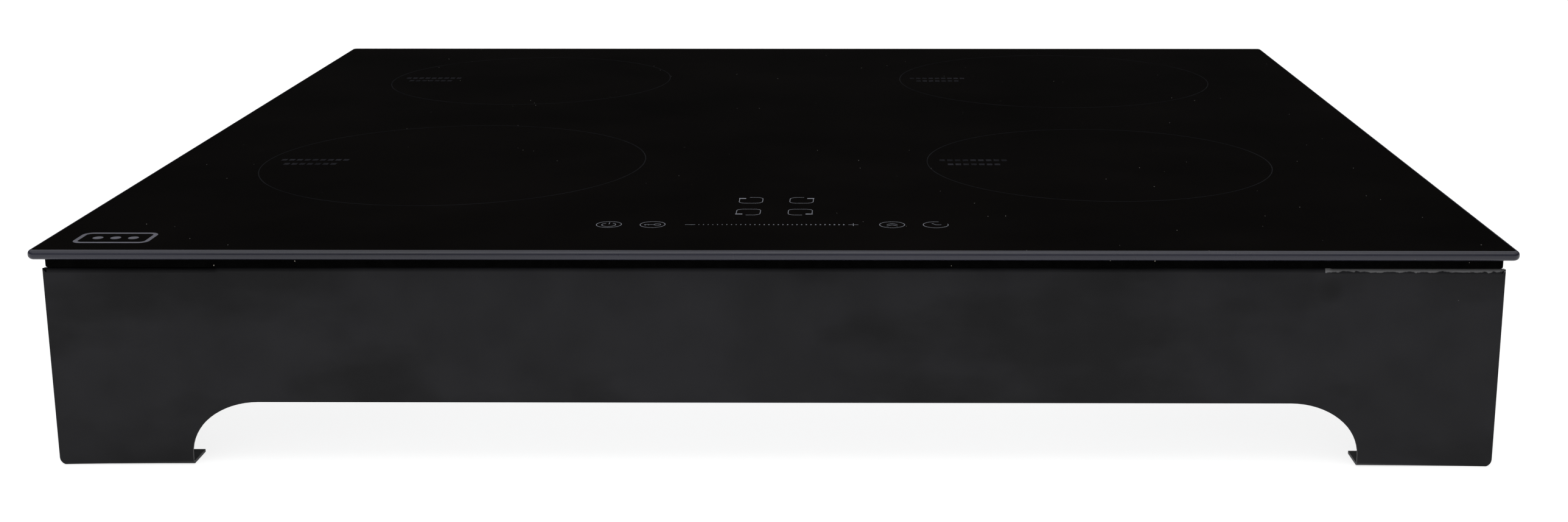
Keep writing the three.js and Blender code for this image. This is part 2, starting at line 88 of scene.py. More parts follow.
class NodeBoard:
    """The shader nodes of one material."""

    MIX_INPUTS = (0, 6, 7)
    MIX_RESULT = 2

    def __init__(self, name: str) -> None:
        """Starts a material with a Principled shader.

        Args:
            name: the material's name.
        """
        self.material = bpy.data.materials.new(name)
        self.material.use_nodes = True
        self.nodes = self.material.node_tree.nodes
        self.links = self.material.node_tree.links
        self.shader = next(n for n in self.nodes if n.type == "BSDF_PRINCIPLED")
        self.place = self.add("ShaderNodeTexCoord").outputs["Object"]

    def add(self, kind: str, **settings: object) -> bpy.types.Node:
        """Adds a node.

        Args:
            kind: the node's class name.
            settings: attributes of the node, set by name.

        Returns:
            The node.
        """
        node = self.nodes.new(kind)
        for key, value in settings.items():
            setattr(node, key, value)
        return node

    def put(self, socket: bpy.types.NodeSocket, value: object) -> None:
        """Links an output to a socket, or gives the socket a plain value.

        Args:
            socket: the input socket.
            value: an output socket, a number, a vector or a colour.
        """
        if isinstance(value, bpy.types.NodeSocket):
            self.links.new(value, socket)
        else:
            socket.default_value = value

    def feed(self, node: bpy.types.Node, **inputs: object) -> bpy.types.Node:
        """Sets or links a node's inputs by name.

        Args:
            node: the node to feed.
            inputs: a number, a colour or an output socket for each input.

        Returns:
            The same node.
        """
        for key, value in inputs.items():
            self.put(node.inputs[key], value)
        return node

    def mapped(self, stretch: Point, turn: Point = (0, 0, 0)) -> bpy.types.NodeSocket:
        """Object coordinates, turned and stretched."""
        node = self.feed(self.add("ShaderNodeMapping"), Vector=self.place, Scale=stretch, Rotation=turn)
        return node.outputs["Vector"]

    def noise(
        self, size: float, detail: float = 3, place: bpy.types.NodeSocket | None = None
    ) -> bpy.types.NodeSocket:
        """Noise from 0 to 1.

        Args:
            size: the size of its features, in metres.
            detail: how many finer layers it has.
            place: the coordinates, or None for plain object coordinates.

        Returns:
            The noise's value socket.
        """
        node = self.add("ShaderNodeTexNoise")
        self.feed(node, Vector=place or self.place, Scale=1 / size, Detail=detail)
        return node.outputs["Fac"]

    def scaled(
        self, value: bpy.types.NodeSocket, low: float, high: float, start: float = 0.3, end: float = 0.7
    ) -> bpy.types.NodeSocket:
        """A value spread from low to high.

        Args:
            value: the value to spread.
            low: the result at start.
            high: the result at end.
            start: where the spread begins.
            end: where it ends.

        Returns:
            The spread value's socket.
        """
        node = self.add("ShaderNodeMapRange")
        self.feed(node, **{"Value": value, "From Min": start, "From Max": end, "To Min": low, "To Max": high})
        return node.outputs["Result"]

    def math(self, operation: str, a: object, b: object = 0.0) -> bpy.types.NodeSocket:
        """A sum, product or other operation on two values.

        Args:
            operation: the operation's name.
            a: the first value, a number or a socket.
            b: the second value.

        Returns:
            The result's socket.
        """
        node = self.add("ShaderNodeMath", operation=operation)
        for socket, value in zip(node.inputs, (a, b)):
            self.put(socket, value)
        return node.outputs["Value"]

    def blended(self, share: bpy.types.NodeSocket, a: object, b: object) -> bpy.types.NodeSocket:
        """One colour turning into another.

        Args:
            share: 0 where the first colour is whole, 1 where the second is.
            a: the first colour, or a socket.
            b: the second colour, or a socket.

        Returns:
            The blend's socket.
        """
        node = self.add("ShaderNodeMix", data_type="RGBA")
        for index, value in zip(self.MIX_INPUTS, (share, a, b)):
            plain = not isinstance(value, bpy.types.NodeSocket)
            self.put(node.inputs[index], (*value, 1.0) if plain else value)
        return node.outputs[self.MIX_RESULT]

    def bump(
        self, height: bpy.types.NodeSocket, depth: float, under: bpy.types.NodeSocket | None = None
    ) -> bpy.types.NodeSocket:
        """A bumped normal.

        Args:
            height: the relief, from 0 to 1.
            depth: the relief's depth in metres.
            under: the normal that it starts from.

        Returns:
            The normal's socket.
        """
        node = self.feed(self.add("ShaderNodeBump"), Height=height, Distance=depth, Strength=1.0)
        if under is not None:
            self.feed(node, Normal=under)
        return node.outputs["Normal"]


@dataclass(frozen=True)
class Finish:
    """A surface with wandering tone and gloss, a fine grain, and a little dust.

    Lengths are in metres. tone and wear are the shares by which colour and roughness wander.
    """

    name: str
    color: Color
    roughness: float
    metallic: float = 0.0
    tone: float = 0.12
    tone_size: float = 0.03
    wear: float = 0.05
    grain: float = 0.00002
    grain_size: float = 0.0006
    stretch: Point = (1.0, 1.0, 1.0)
    dust: float = 0.0
    dust_color: Color = (0.30, 0.28, 0.24)
    dust_cell: float = 0.008
    coat: float = 0.0
    specular: float = 0.5
    gloss_share: float = 0.6
    dust_roughness: float = 0.8

    def base(self, board: NodeBoard) -> bpy.types.NodeSocket:
        """The colour before dust.

        Args:
            board: the material's nodes.

        Returns:
            The colour's socket.
        """
        share = board.scaled(board.noise(self.tone_size, 4, board.mapped(self.stretch)), 0, 1)
        dark = tuple(c * (1 - self.tone) for c in self.color)
        light = tuple(c * (1 + self.tone) for c in self.color)
        return board.blended(share, dark, light)

    def relief(self, board: NodeBoard) -> bpy.types.NodeSocket:
        """The bumped normal."""
        return board.bump(board.noise(self.grain_size, 2, board.mapped(self.stretch)), self.grain)

    def dust_share(self, board: NodeBoard) -> bpy.types.NodeSocket:
        """Scattered specks of dust of uneven size.

        Args:
            board: the material's nodes.

        Returns:
            A socket that is 1 on a speck, else 0.
        """
        cells = board.add("ShaderNodeTexVoronoi")
        board.feed(cells, Vector=board.place, Scale=1 / self.dust_cell)
        size = board.add("ShaderNodeSeparateColor")
        board.feed(size, Color=cells.outputs["Color"])
        reach = board.math("MULTIPLY", size.outputs["Green"], self.dust)
        return board.math("LESS_THAN", cells.outputs["Distance"], reach)

    def make(self) -> bpy.types.Material:
        """Builds the material.

        Returns:
            The finished material.
        """
        board = NodeBoard(self.name)
        color = self.base(board)
        cloud = board.noise(self.tone_size * self.gloss_share, 4)
        gloss = board.scaled(cloud, self.roughness - self.wear, self.roughness + self.wear)
        if self.dust:
            speck = self.dust_share(board)
            color = board.blended(speck, color, self.dust_color)
            gloss = board.math("MAXIMUM", gloss, board.math("MULTIPLY", speck, self.dust_roughness))
        board.feed(board.shader, **{"Base Color": color, "Roughness": gloss, "Normal": self.relief(board)})
        board.feed(
            board.shader,
            **{"Metallic": self.metallic, "Coat Weight": self.coat, "Specular IOR Level": self.specular},
        )
        return board.material


@dataclass(frozen=True)
class CeramicGlass(Finish):
    """Black glass, very slightly wavy, under a film of fine wiping marks."""

    wave: float = 0.12
    wave_depth: float = 0.00004
    streak: float = 0.004
    streak_stretch: Point = (0.35, 1.6, 1.0)
    streak_turn: Point = (0, 0, 0.5)

    def relief(self, board: NodeBoard) -> bpy.types.NodeSocket:
        """The waves, and the wiping marks over them.

        Args:
            board: the material's nodes.

        Returns:
            The normal's socket.
        """
        wave = board.bump(board.noise(self.wave, 1), self.wave_depth)
        streaks = board.noise(self.streak, 3, board.mapped(self.streak_stretch, self.streak_turn))
        return board.bump(streaks, self.grain, wave)


@dataclass(frozen=True)
class PowderCoat(Finish):
    """Baked powder: a fine orange-peel skin with darker handling marks, and a worn strip along a bend that is
    painted paler as a highlight.
    """

    smudge: float = 0.5
    smudge_size: float = 0.045
    smudge_stretch: Point = (0.6, 1.0, 1.4)
    rub: Point = (0.222, -0.2545, 0.074)
    rub_size: float = 0.006
    # The band at the right end of the front panel's top bend is painted paler: a painted highlight on a worn
    # edge.
    worn_highlight_from: Point = (0.2195, -0.2, 0.0811)
    worn_highlight_color: Color = (0.20, 0.20, 0.205)
    worn_depth: float = 0.00006
    worn_highlight_fade: float = 0.0003
    ragged: float = 0.003
    ragged_stretch: Point = (1.0, 1.0, 0.4)
    ragged_reach: tuple[float, float] = (-0.0009, 0.0002)
    peel: float = 0.0022

    def base(self, board: NodeBoard) -> bpy.types.NodeSocket:
        """The coat's colour, darker in smudges and at a rub mark, and paler along the worn bend, where the
        paleness is a painted highlight.

        Args:
            board: the material's nodes.

        Returns:
            The colour's socket.
        """
        dark = tuple(c * self.smudge for c in self.color)
        cloud = board.noise(self.smudge_size, 5, board.mapped(self.smudge_stretch))
        color = board.blended(board.scaled(cloud, 0, 1, 0.5, 0.66), Finish.base(self, board), dark)
        reach = board.add("ShaderNodeVectorMath", operation="DISTANCE")
        board.put(reach.inputs[0], board.place)
        board.put(reach.inputs[1], self.rub)
        near = board.scaled(reach.outputs["Value"], 1, 0, 0.3 * self.rub_size, self.rub_size)
        # The paler band is a painted highlight along the worn bend.
        return board.blended(self.worn_highlight(board), board.blended(near, color, dark), self.worn_highlight_color)

    def worn_highlight(self, board: NodeBoard) -> bpy.types.NodeSocket:
        """A ragged band along the worn bend, painted paler there as the bend's highlight.

        Args:
            board: the material's nodes.

        Returns:
            A socket that is 1 in the band, else 0.
        """
        parts = board.feed(board.add("ShaderNodeSeparateXYZ"), Vector=board.place)
        ragged = board.noise(self.ragged, 4, board.mapped(self.ragged_stretch))
        level = board.math("ADD", parts.outputs["Z"], board.scaled(ragged, *self.ragged_reach))
        left, front, low = self.worn_highlight_from
        share = board.scaled(level, 0, 1, low, low + self.worn_highlight_fade)
        along = board.math("GREATER_THAN", parts.outputs["X"], left)
        before = board.math("LESS_THAN", parts.outputs["Y"], front)
        return board.math("MULTIPLY", share, board.math("MULTIPLY", along, before))

    def relief(self, board: NodeBoard) -> bpy.types.NodeSocket:
        """Orange peel under a finer grain, with a step down where the coat is worn away.

        Args:
            board: the material's nodes.

        Returns:
            The normal's socket.
        """
        step = board.bump(board.math("SUBTRACT", 1.0, self.worn_highlight(board)), self.worn_depth)
        peel = board.bump(board.noise(self.peel, 2), self.grain * 2, step)
        return board.bump(board.noise(self.grain_size, 2), self.grain, peel)


@dataclass(frozen=True)
class ZincSpangle(Finish):
    """Galvanised sheet with the crystals of the zinc showing."""

    crystal: float = 0.007
    wobble: float = 0.5

    def base(self, board: NodeBoard) -> bpy.types.NodeSocket:
        """A tone for each crystal, whose edges are bent by noise.

        Args:
            board: the material's nodes.

        Returns:
            The colour's socket.
        """
        shift = board.feed(board.add("ShaderNodeTexNoise"), Vector=board.place, Scale=1 / self.crystal)
        small = board.add("ShaderNodeVectorMath", operation="SCALE")
        board.put(small.inputs[0], shift.outputs["Color"])
        board.feed(small, Scale=self.crystal * self.wobble)
        bent = board.add("ShaderNodeVectorMath", operation="ADD")
        board.put(bent.inputs[0], board.place)
        board.put(bent.inputs[1], small.outputs[0])
        cells = board.feed(board.add("ShaderNodeTexVoronoi"), Vector=bent.outputs[0], Scale=1 / self.crystal)
        parts = board.feed(board.add("ShaderNodeSeparateColor"), Color=cells.outputs["Color"])
        share = board.scaled(parts.outputs["Red"], 0, 1, 0, 1)
        dark = tuple(c * (1 - self.tone) for c in self.color)
        return board.blended(share, dark, self.color)


@dataclass(frozen=True)
class CircuitCoat(Finish):
    """Green solder resist over copper tracks, with tinned pads."""

    track: Color = (0.05, 0.22, 0.09)
    track_scale: float = 60.0
    track_width: float = 0.03
    shade: float = 0.8
    pad: Color = (0.55, 0.54, 0.5)
    pad_scale: float = 170.0
    pad_scatter: float = 0.15
    pad_size: float = 0.2
    row_size: float = 0.02
    row_share: float = 0.56

    def base(self, board: NodeBoard) -> bpy.types.NodeSocket:
        """Tracks as thin lighter lines, pads as bright dots in rows.

        Args:
            board: the material's nodes.

        Returns:
            The colour's socket.
        """
        shaded = tuple(c * self.shade for c in self.color)
        tracks = board.feed(board.add("ShaderNodeTexBrick"), Vector=board.place, Scale=self.track_scale)
        for key, color in (("Color1", self.color), ("Color2", shaded), ("Mortar", self.track)):
            board.put(tracks.inputs[key], (*color, 1))
        board.put(tracks.inputs["Mortar Size"], self.track_width)
        dots = board.add("ShaderNodeTexVoronoi")
        board.feed(dots, Vector=board.place, Scale=self.pad_scale, Randomness=self.pad_scatter)
        near = board.math("LESS_THAN", dots.outputs["Distance"], self.pad_size)
        rows = board.math("GREATER_THAN", board.noise(self.row_size, 1), self.row_share)
        return board.blended(board.math("MULTIPLY", near, rows), tracks.outputs["Color"], self.pad)


@dataclass(frozen=True)
class Strand(Finish):
    """Twisted bare strands seen as fine slanting ridges."""

    ridge_scale: float = 260.0
    ridge_bend: float = 1.5

    def relief(self, board: NodeBoard) -> bpy.types.NodeSocket:
        """Slanting ridges.

        Args:
            board: the material's nodes.

        Returns:
            The normal's socket.
        """
        waves = board.add("ShaderNodeTexWave", wave_type="BANDS", bands_direction="DIAGONAL")
        board.feed(waves, Vector=board.place, Scale=self.ridge_scale, Distortion=self.ridge_bend)
        return board.bump(waves.outputs["Fac"], self.grain)


@dataclass(frozen=True)
class LitFloor(Finish):
    """A pale floor that glows a little, and is clear from beneath so that the underside can be seen."""

    glow: float = 0.82

    def make(self) -> bpy.types.Material:
        """Adds the glow and a clear back to the plain finish.

        Returns:
            The finished material.
        """
        material = Finish.make(self)
        nodes, links = material.node_tree.nodes, material.node_tree.links
        out = next(n for n in nodes if n.type == "OUTPUT_MATERIAL")
        shader = next(n for n in nodes if n.type == "BSDF_PRINCIPLED")
        shader.inputs["Emission Color"].default_value = (1.0, 1.0, 1.0, 1.0)
        shader.inputs["Emission Strength"].default_value = self.glow
        mix = nodes.new("ShaderNodeMixShader")
        links.new(nodes.new("ShaderNodeNewGeometry").outputs["Backfacing"], mix.inputs["Fac"])
        links.new(shader.outputs[0], mix.inputs[1])
        links.new(nodes.new("ShaderNodeBsdfTransparent").outputs[0], mix.inputs[2])
        links.new(mix.outputs[0], out.inputs["Surface"])
        return material


class Paint:
    """The finishes, each made once."""

    GLASS = CeramicGlass(
        "black_glass_ceramic", (0.0030, 0.0024, 0.0022), 0.07, tone=0.35, tone_size=0.09, wear=0.03,
        grain=0.0000015, dust=0.03, dust_color=(0.30, 0.29, 0.27),
    )
    GLASS_EDGE = Finish(
        "ground_glass_edge", (0.019, 0.019, 0.030), 0.27, tone=0.35, tone_size=0.05, wear=0.06,
        grain=0.000006, grain_size=0.0011, stretch=(0.25, 0.25, 2.0), dust=0.03, specular=0.42,
    )
    COAT = PowderCoat(
        "black_powder_coat", (0.0114, 0.0114, 0.0133), 0.52, tone=0.2, tone_size=0.03, wear=0.08,
        grain=0.000014, grain_size=0.0007, dust=0.06, dust_cell=0.0085, dust_color=(0.5, 0.48, 0.43),
        specular=0.17,
    )
    # Black foam taken far darker than its own colour: painted shade for the gap under the glass's rim.
    FOAM_DARKENED_AS_SHADE = Finish(
        "foam_darkened_as_shade", (0.0015, 0.0015, 0.0015), 0.9, tone=0.3, tone_size=0.004, grain=0.0002,
        grain_size=0.001, specular=0.02, dust=0.06, dust_cell=0.006,
    )
    ZINC = ZincSpangle(
        "galvanised_sheet", (0.50, 0.51, 0.52), 0.36, 0.9, tone=0.35, wear=0.08, grain=0.00001
    )
    PLATED = Finish(
        "zinc_plated_steel", (0.56, 0.55, 0.50), 0.3, 0.95, tone=0.12, tone_size=0.006, wear=0.08,
        grain=0.00001, grain_size=0.0004,
    )
    ALUMINIUM = Finish(
        "mill_aluminium", (0.70, 0.71, 0.72), 0.34, 0.95, tone=0.06, wear=0.08, grain=0.000012,
        grain_size=0.001, stretch=(4.0, 0.15, 4.0),
    )
    COPPER = Strand(
        "stranded_copper", (0.50, 0.19, 0.09), 0.38, 0.85, tone=0.25, tone_size=0.003, grain=0.0002
    )
    FERRITE = Finish("ferrite", (0.032, 0.030, 0.029), 0.6, tone=0.25, tone_size=0.004, grain=0.00004)
    MICA = Finish(
        "mica_sheet", (0.50, 0.43, 0.31), 0.5, tone=0.3, tone_size=0.006, grain=0.00004, coat=0.2
    )
    BOARD = CircuitCoat("circuit_board", (0.018, 0.115, 0.045), 0.4, wear=0.05, coat=0.3, grain=0.00002)
    BLACK = Finish(
        "black_moulding", (0.013, 0.013, 0.014), 0.48, tone=0.1, grain=0.00003, grain_size=0.0005
    )
    WHITE = Finish(
        "pale_moulding", (0.62, 0.60, 0.54), 0.5, tone=0.05, grain=0.00003, grain_size=0.0005
    )
    CASE = Finish("capacitor_case", (0.22, 0.035, 0.022), 0.3, tone=0.1, coat=0.4)
    CERAMIC = Finish("sensor_ceramic", (0.70, 0.68, 0.62), 0.6, tone=0.08, grain=0.00003)
    LENS = Finish("smoked_lens", (0.012, 0.006, 0.006), 0.12, tone=0.2, wear=0.03, coat=0.5)
    INK = Finish(
        "pale_ink", (0.24, 0.25, 0.29), 0.5, tone=0.12, tone_size=0.003, wear=0.08, grain=0.000003
    )
    FAINT_INK = Finish(
        "faint_ink", (0.016, 0.0165, 0.019), 0.14, tone=0.4, tone_size=0.03, wear=0.03, grain=0.000003
    )
    LABEL_INK = Finish(
        "label_ink", (0.021, 0.021, 0.026), 0.14, tone=0.5, tone_size=0.012, wear=0.03, grain=0.000003
    )
    MARK_INK = Finish(
        "mark_ink", (0.125, 0.125, 0.155), 0.42, tone=0.08, tone_size=0.01, grain=0.000003
    )

    _made: dict[str, bpy.types.Material] = {}

    @classmethod
    def of(cls, finish: Finish) -> bpy.types.Material:
        """The material of a finish, made when it is first asked for.

        Args:
            finish: the finish.

        Returns:
            Its material.
        """
        if finish.name not in cls._made:
            cls._made[finish.name] = finish.make()
        return cls._made[finish.name]


# ---------------------------------------------------------------- mesh tools


def moved(bm: bmesh.types.BMesh, verts: Iterable, matrix: Matrix) -> None:
    """Moves some vertices of a mesh by a matrix."""
    bmesh.ops.transform(bm, matrix=matrix, verts=list(verts))


def upright(edge: bmesh.types.BMEdge) -> bool:
    """Whether an edge rises or falls."""
    return abs(edge.verts[0].co.z - edge.verts[1].co.z) > TINY


def round_edges(bm: bmesh.types.BMesh, edges: list, radius: float, segments: int) -> list:
    """Rounds some edges of a mesh.

    Args:
        bm: the mesh.
        edges: the edges to round.
        radius: how far back from each edge the rounding starts.
        segments: how many strips it has.

    Returns:
        The new faces.
    """
    made = bmesh.ops.bevel(
        bm, geom=edges, offset=radius, offset_type="OFFSET", affect="EDGES", segments=segments, profile=0.5,
        material=-1,
    )
    return made["faces"]


def connected(verts: Iterable) -> set:
    """Everything that some vertices belong to.

    Args:
        verts: the vertices to start from.

    Returns:
        These and all that edges join to them.
    """
    found, waiting = set(verts), list(verts)
    while waiting:
        vert = waiting.pop()
        fresh = {edge.other_vert(vert) for edge in vert.link_edges} - found
        found |= fresh
        waiting += fresh
    return found


def span_of(node: str) -> tuple[Vector, Vector]:
    """The middle and the size of a CAD node's box."""
    low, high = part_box(node)
    return (low + high) / 2, high - low


def add_box(bm: bmesh.types.BMesh, low: Sequence[float], high: Sequence[float], soft: float = 0.0) -> list:
    """Adds a block, with softened edges if asked.

    Args:
        bm: the mesh to add to.
        low: its lowest corner.
        high: its highest corner.
        soft: the radius of its edges.

    Returns:
        Its vertices.
    """
    low, high = Vector(low), Vector(high)
    verts = bmesh.ops.create_cube(bm, size=1.0)["verts"]
    moved(bm, verts, Matrix.Translation((low + high) / 2) @ Matrix.Diagonal((*(high - low), 1)))
    if soft:
        edges = list({e for v in verts for e in v.link_edges})
        faces = round_edges(bm, edges, soft, 2)
        verts = list({v for f in faces for v in f.verts} | {v for v in verts if v.is_valid})
    return verts


def add_post(
    bm: bmesh.types.BMesh, foot: Sequence[float], radius: float, height: float, sides: int = 32,
    tip: float | None = None,
) -> list:
    """Adds an upright cylinder or cone standing on foot.

    Args:
        bm: the mesh to add to.
        foot: the middle of its base.
        radius: its radius at the base.
        height: its height.
        sides: how many sides it has.
        tip: its radius at the top, if that is different.

    Returns:
        Its vertices.
    """
    top = radius if tip is None else tip
    verts = bmesh.ops.create_cone(
        bm, cap_ends=True, segments=sides, radius1=radius, radius2=top, depth=height
    )["verts"]
    moved(bm, verts, Matrix.Translation(Vector(foot) + Vector((0, 0, height / 2))))
    return verts


def add_arc(
    bm: bmesh.types.BMesh, centre: Sequence[float], radius: float, width: float, depth: float,
    start: float = 0.0, sweep: float = TAU, steps: int = 64,
) -> None:
    """Sweeps a rectangle round an upright axis: a flat ring, or an arc with closed ends.

    Args:
        bm: the mesh to add to.
        centre: the middle of its underside.
        radius: the radius of its middle line.
        width: its width along the radius.
        depth: its thickness, upwards.
        start: the angle where it starts.
        sweep: the angle that it covers.
        steps: how many steps it takes.
    """
    whole = abs(sweep) > TAU - TINY
    section = bmesh.ops.create_grid(bm, x_segments=1, y_segments=1, size=0.5)["verts"]
    face = section[0].link_faces[0]
    place = (
        Matrix.Translation(centre)
        @ Matrix.Rotation(start, 4, "Z")
        @ Matrix.Translation((radius, 0, depth / 2))
        @ UPRIGHT_SECTION
        @ Matrix.Diagonal((width, depth, 1, 1))
    )
    moved(bm, section, place)
    edges = list(face.edges)
    geometry = section + edges
    if whole:
        bmesh.ops.delete(bm, geom=[face], context="FACES_ONLY")
    else:
        geometry.append(face)
    bmesh.ops.spin(
        bm, geom=geometry, cent=centre, axis=(0, 0, 1), angle=sweep, steps=steps, use_merge=whole,
        use_duplicate=False,
    )


def add_hoop(
    bm: bmesh.types.BMesh, centre: Sequence[float], radius: float, wire: float, sides: int, steps: int,
    tall: float = 1.0,
) -> None:
    """Adds a closed hoop of round wire about an upright axis.

    Args:
        bm: the mesh to add to.
        centre: the hoop's middle.
        radius: the radius of its middle line.
        wire: the radius of the wire.
        sides: how many sides the wire has.
        steps: how many steps go round.
        tall: how many times taller than wide the wire is.
    """
    loop = bmesh.ops.create_circle(bm, cap_ends=False, segments=sides, radius=wire)["verts"]
    place = Matrix.Translation(Vector(centre) + Vector((radius, 0, 0))) @ UPRIGHT_SECTION
    moved(bm, loop, place @ Matrix.Diagonal((1, tall, 1, 1)))
    edges = list({e for v in loop for e in v.link_edges})
    bmesh.ops.spin(
        bm, geom=loop + edges, cent=centre, axis=(0, 0, 1), angle=TAU, steps=steps, use_merge=True,
        use_duplicate=False,
    )


def outward(bm: bmesh.types.BMesh) -> None:
    """Merges doubles and turns every face outwards."""
    bmesh.ops.remove_doubles(bm, verts=bm.verts[:], dist=1e-7)
    bmesh.ops.recalc_face_normals(bm, faces=bm.faces[:])


@dataclass
class Wall:
    """Modifiers that finish a piece: a sheet's thickness and softened edges, in metres."""

    thickness: float = 0.0
    soft: float = 0.0
    segments: int = 2
    limit: float = math.radians(35)
    cutters: list = field(default_factory=list)

    def apply(self, obj: bpy.types.Object) -> None:
        """Applies the modifiers to an object's mesh.

        Args:
            obj: the object, whose cutters are removed afterwards.
        """
        if self.thickness:
            solidify = obj.modifiers.new("thickness", "SOLIDIFY")
            solidify.thickness = self.thickness
            solidify.offset = -1.0
            solidify.use_even_offset = True
        for cutter in self.cutters:
            cut = obj.modifiers.new("cut", "BOOLEAN")
            cut.object = cutter
            cut.operation = "DIFFERENCE"
            cut.solver = "EXACT"
        if self.soft:
            bevel = obj.modifiers.new("softened", "BEVEL")
            bevel.width = self.soft
            bevel.segments = self.segments
            bevel.limit_method = "ANGLE"
            bevel.angle_limit = self.limit
            bevel.use_clamp_overlap = True
        if obj.modifiers:
            obj.modifiers.new("even_light", "WEIGHTED_NORMAL").keep_sharp = True
            for polygon in obj.data.polygons:
                polygon.use_smooth = True
            bpy.context.view_layer.update()
            evaluated = obj.evaluated_get(bpy.context.evaluated_depsgraph_get())
            obj.data = bpy.data.meshes.new_from_object(evaluated)
            obj.modifiers.clear()
        for cutter in self.cutters:
            bpy.data.objects.remove(cutter)


def as_object(name: str, bm: bmesh.types.BMesh, paints: Sequence[Finish] = ()) -> bpy.types.Object:
    """Makes an object at the origin from a mesh.

    Args:
        name: the object's name.
        bm: its mesh, which is freed.
        paints: a finish for each material index.

    Returns:
        The object.
    """
    mesh = bpy.data.meshes.new(name)
    bm.to_mesh(mesh)
    bm.free()
    for paint in paints:
        mesh.materials.append(Paint.of(paint))
    obj = bpy.data.objects.new(name, mesh)
    bpy.context.scene.collection.objects.link(obj)
    return obj


def place_piece(
    name: str, bm: bmesh.types.BMesh, paint: Finish | Sequence[Finish],
    body: str = Body.COOKTOP.value, stands_for: Sequence[str] = (), wall: Wall | None = None,
    sharp: float = 40,
) -> bpy.types.Object:
    """Turns a mesh into a finished piece of the hob.

    Args:
        name: the piece's name.
        bm: its mesh.
        paint: its finish, or one for each material index.
        body: the body that it rides on.
        stands_for: the CAD nodes that it is shown in place of.
        wall: the modifiers that finish it.
        sharp: the angle in degrees above which an edge is drawn sharp.

    Returns:
        The piece.
    """
    paints = [paint] if isinstance(paint, Finish) else list(paint)
    obj = as_object(name, bm, paints)
    (wall or Wall()).apply(obj)
    if not wall or not (wall.soft or wall.thickness):
        obj.data.shade_smooth()
        obj.data.set_sharp_from_angle(angle=math.radians(sharp))
    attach(obj, body)
    if stands_for:
        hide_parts(*stands_for)
    LOG.info("%s: %d faces", name, len(obj.data.polygons))
    return obj


def cad_copy(node: str) -> bmesh.types.BMesh:
    """A merged copy of a CAD node's mesh, with its flat faces made whole.

    Args:
        node: the CAD node.

    Returns:
        The copy.
    """
    bm = bmesh.new()
    bm.from_mesh(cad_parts[node].data)
    bmesh.ops.remove_doubles(bm, verts=bm.verts[:], dist=2e-6)
    bmesh.ops.dissolve_limit(
        bm, angle_limit=math.radians(1), verts=bm.verts[:], edges=bm.edges[:], delimit=set()
    )
    for face in bm.faces:
        face.material_index = 0
    return bm


def soften_node(
    node: str, paint: Finish, soft: float, body: str = Body.COOKTOP.value
) -> bpy.types.Object:
    """Shows a CAD node's own shape with softened edges.

    Args:
        node: the CAD node.
        paint: its finish.
        soft: the radius of its edges.
        body: the body that it rides on.

    Returns:
        The piece.
    """
    return place_piece(f"{node}_shape", cad_copy(node), paint, body, [node], Wall(soft=soft))


# ---------------------------------------------------------------- glass and its print


@dataclass
class GlassTop:
    """The glass-ceramic plate with its pencil-ground rim."""

    corner: float = 3 * MM
    pencil: float = 1.75 * MM
    print_depth: float = 0.04 * MM
    level: float = 0.995

    def build(self) -> None:
        """Makes the plate: a block with round corners and a rounded rim."""
        low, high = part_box("glass_top")
        high.z -= self.print_depth
        bm = bmesh.new()
        add_box(bm, low, high)
        round_edges(bm, [e for e in bm.edges if upright(e)], self.corner, 12)
        round_edges(bm, [e for e in bm.edges if not upright(e)], self.pencil, 7)
        outward(bm)
        for face in bm.faces:
            face.material_index = 0 if abs(face.normal.z) > self.level else 1
        paints = (Paint.GLASS, Paint.GLASS_EDGE)
        obj = place_piece("glass_plate", bm, paints, stands_for=["glass_top"])
        obj.modifiers.new("even_light", "WEIGHTED_NORMAL").keep_sharp = True


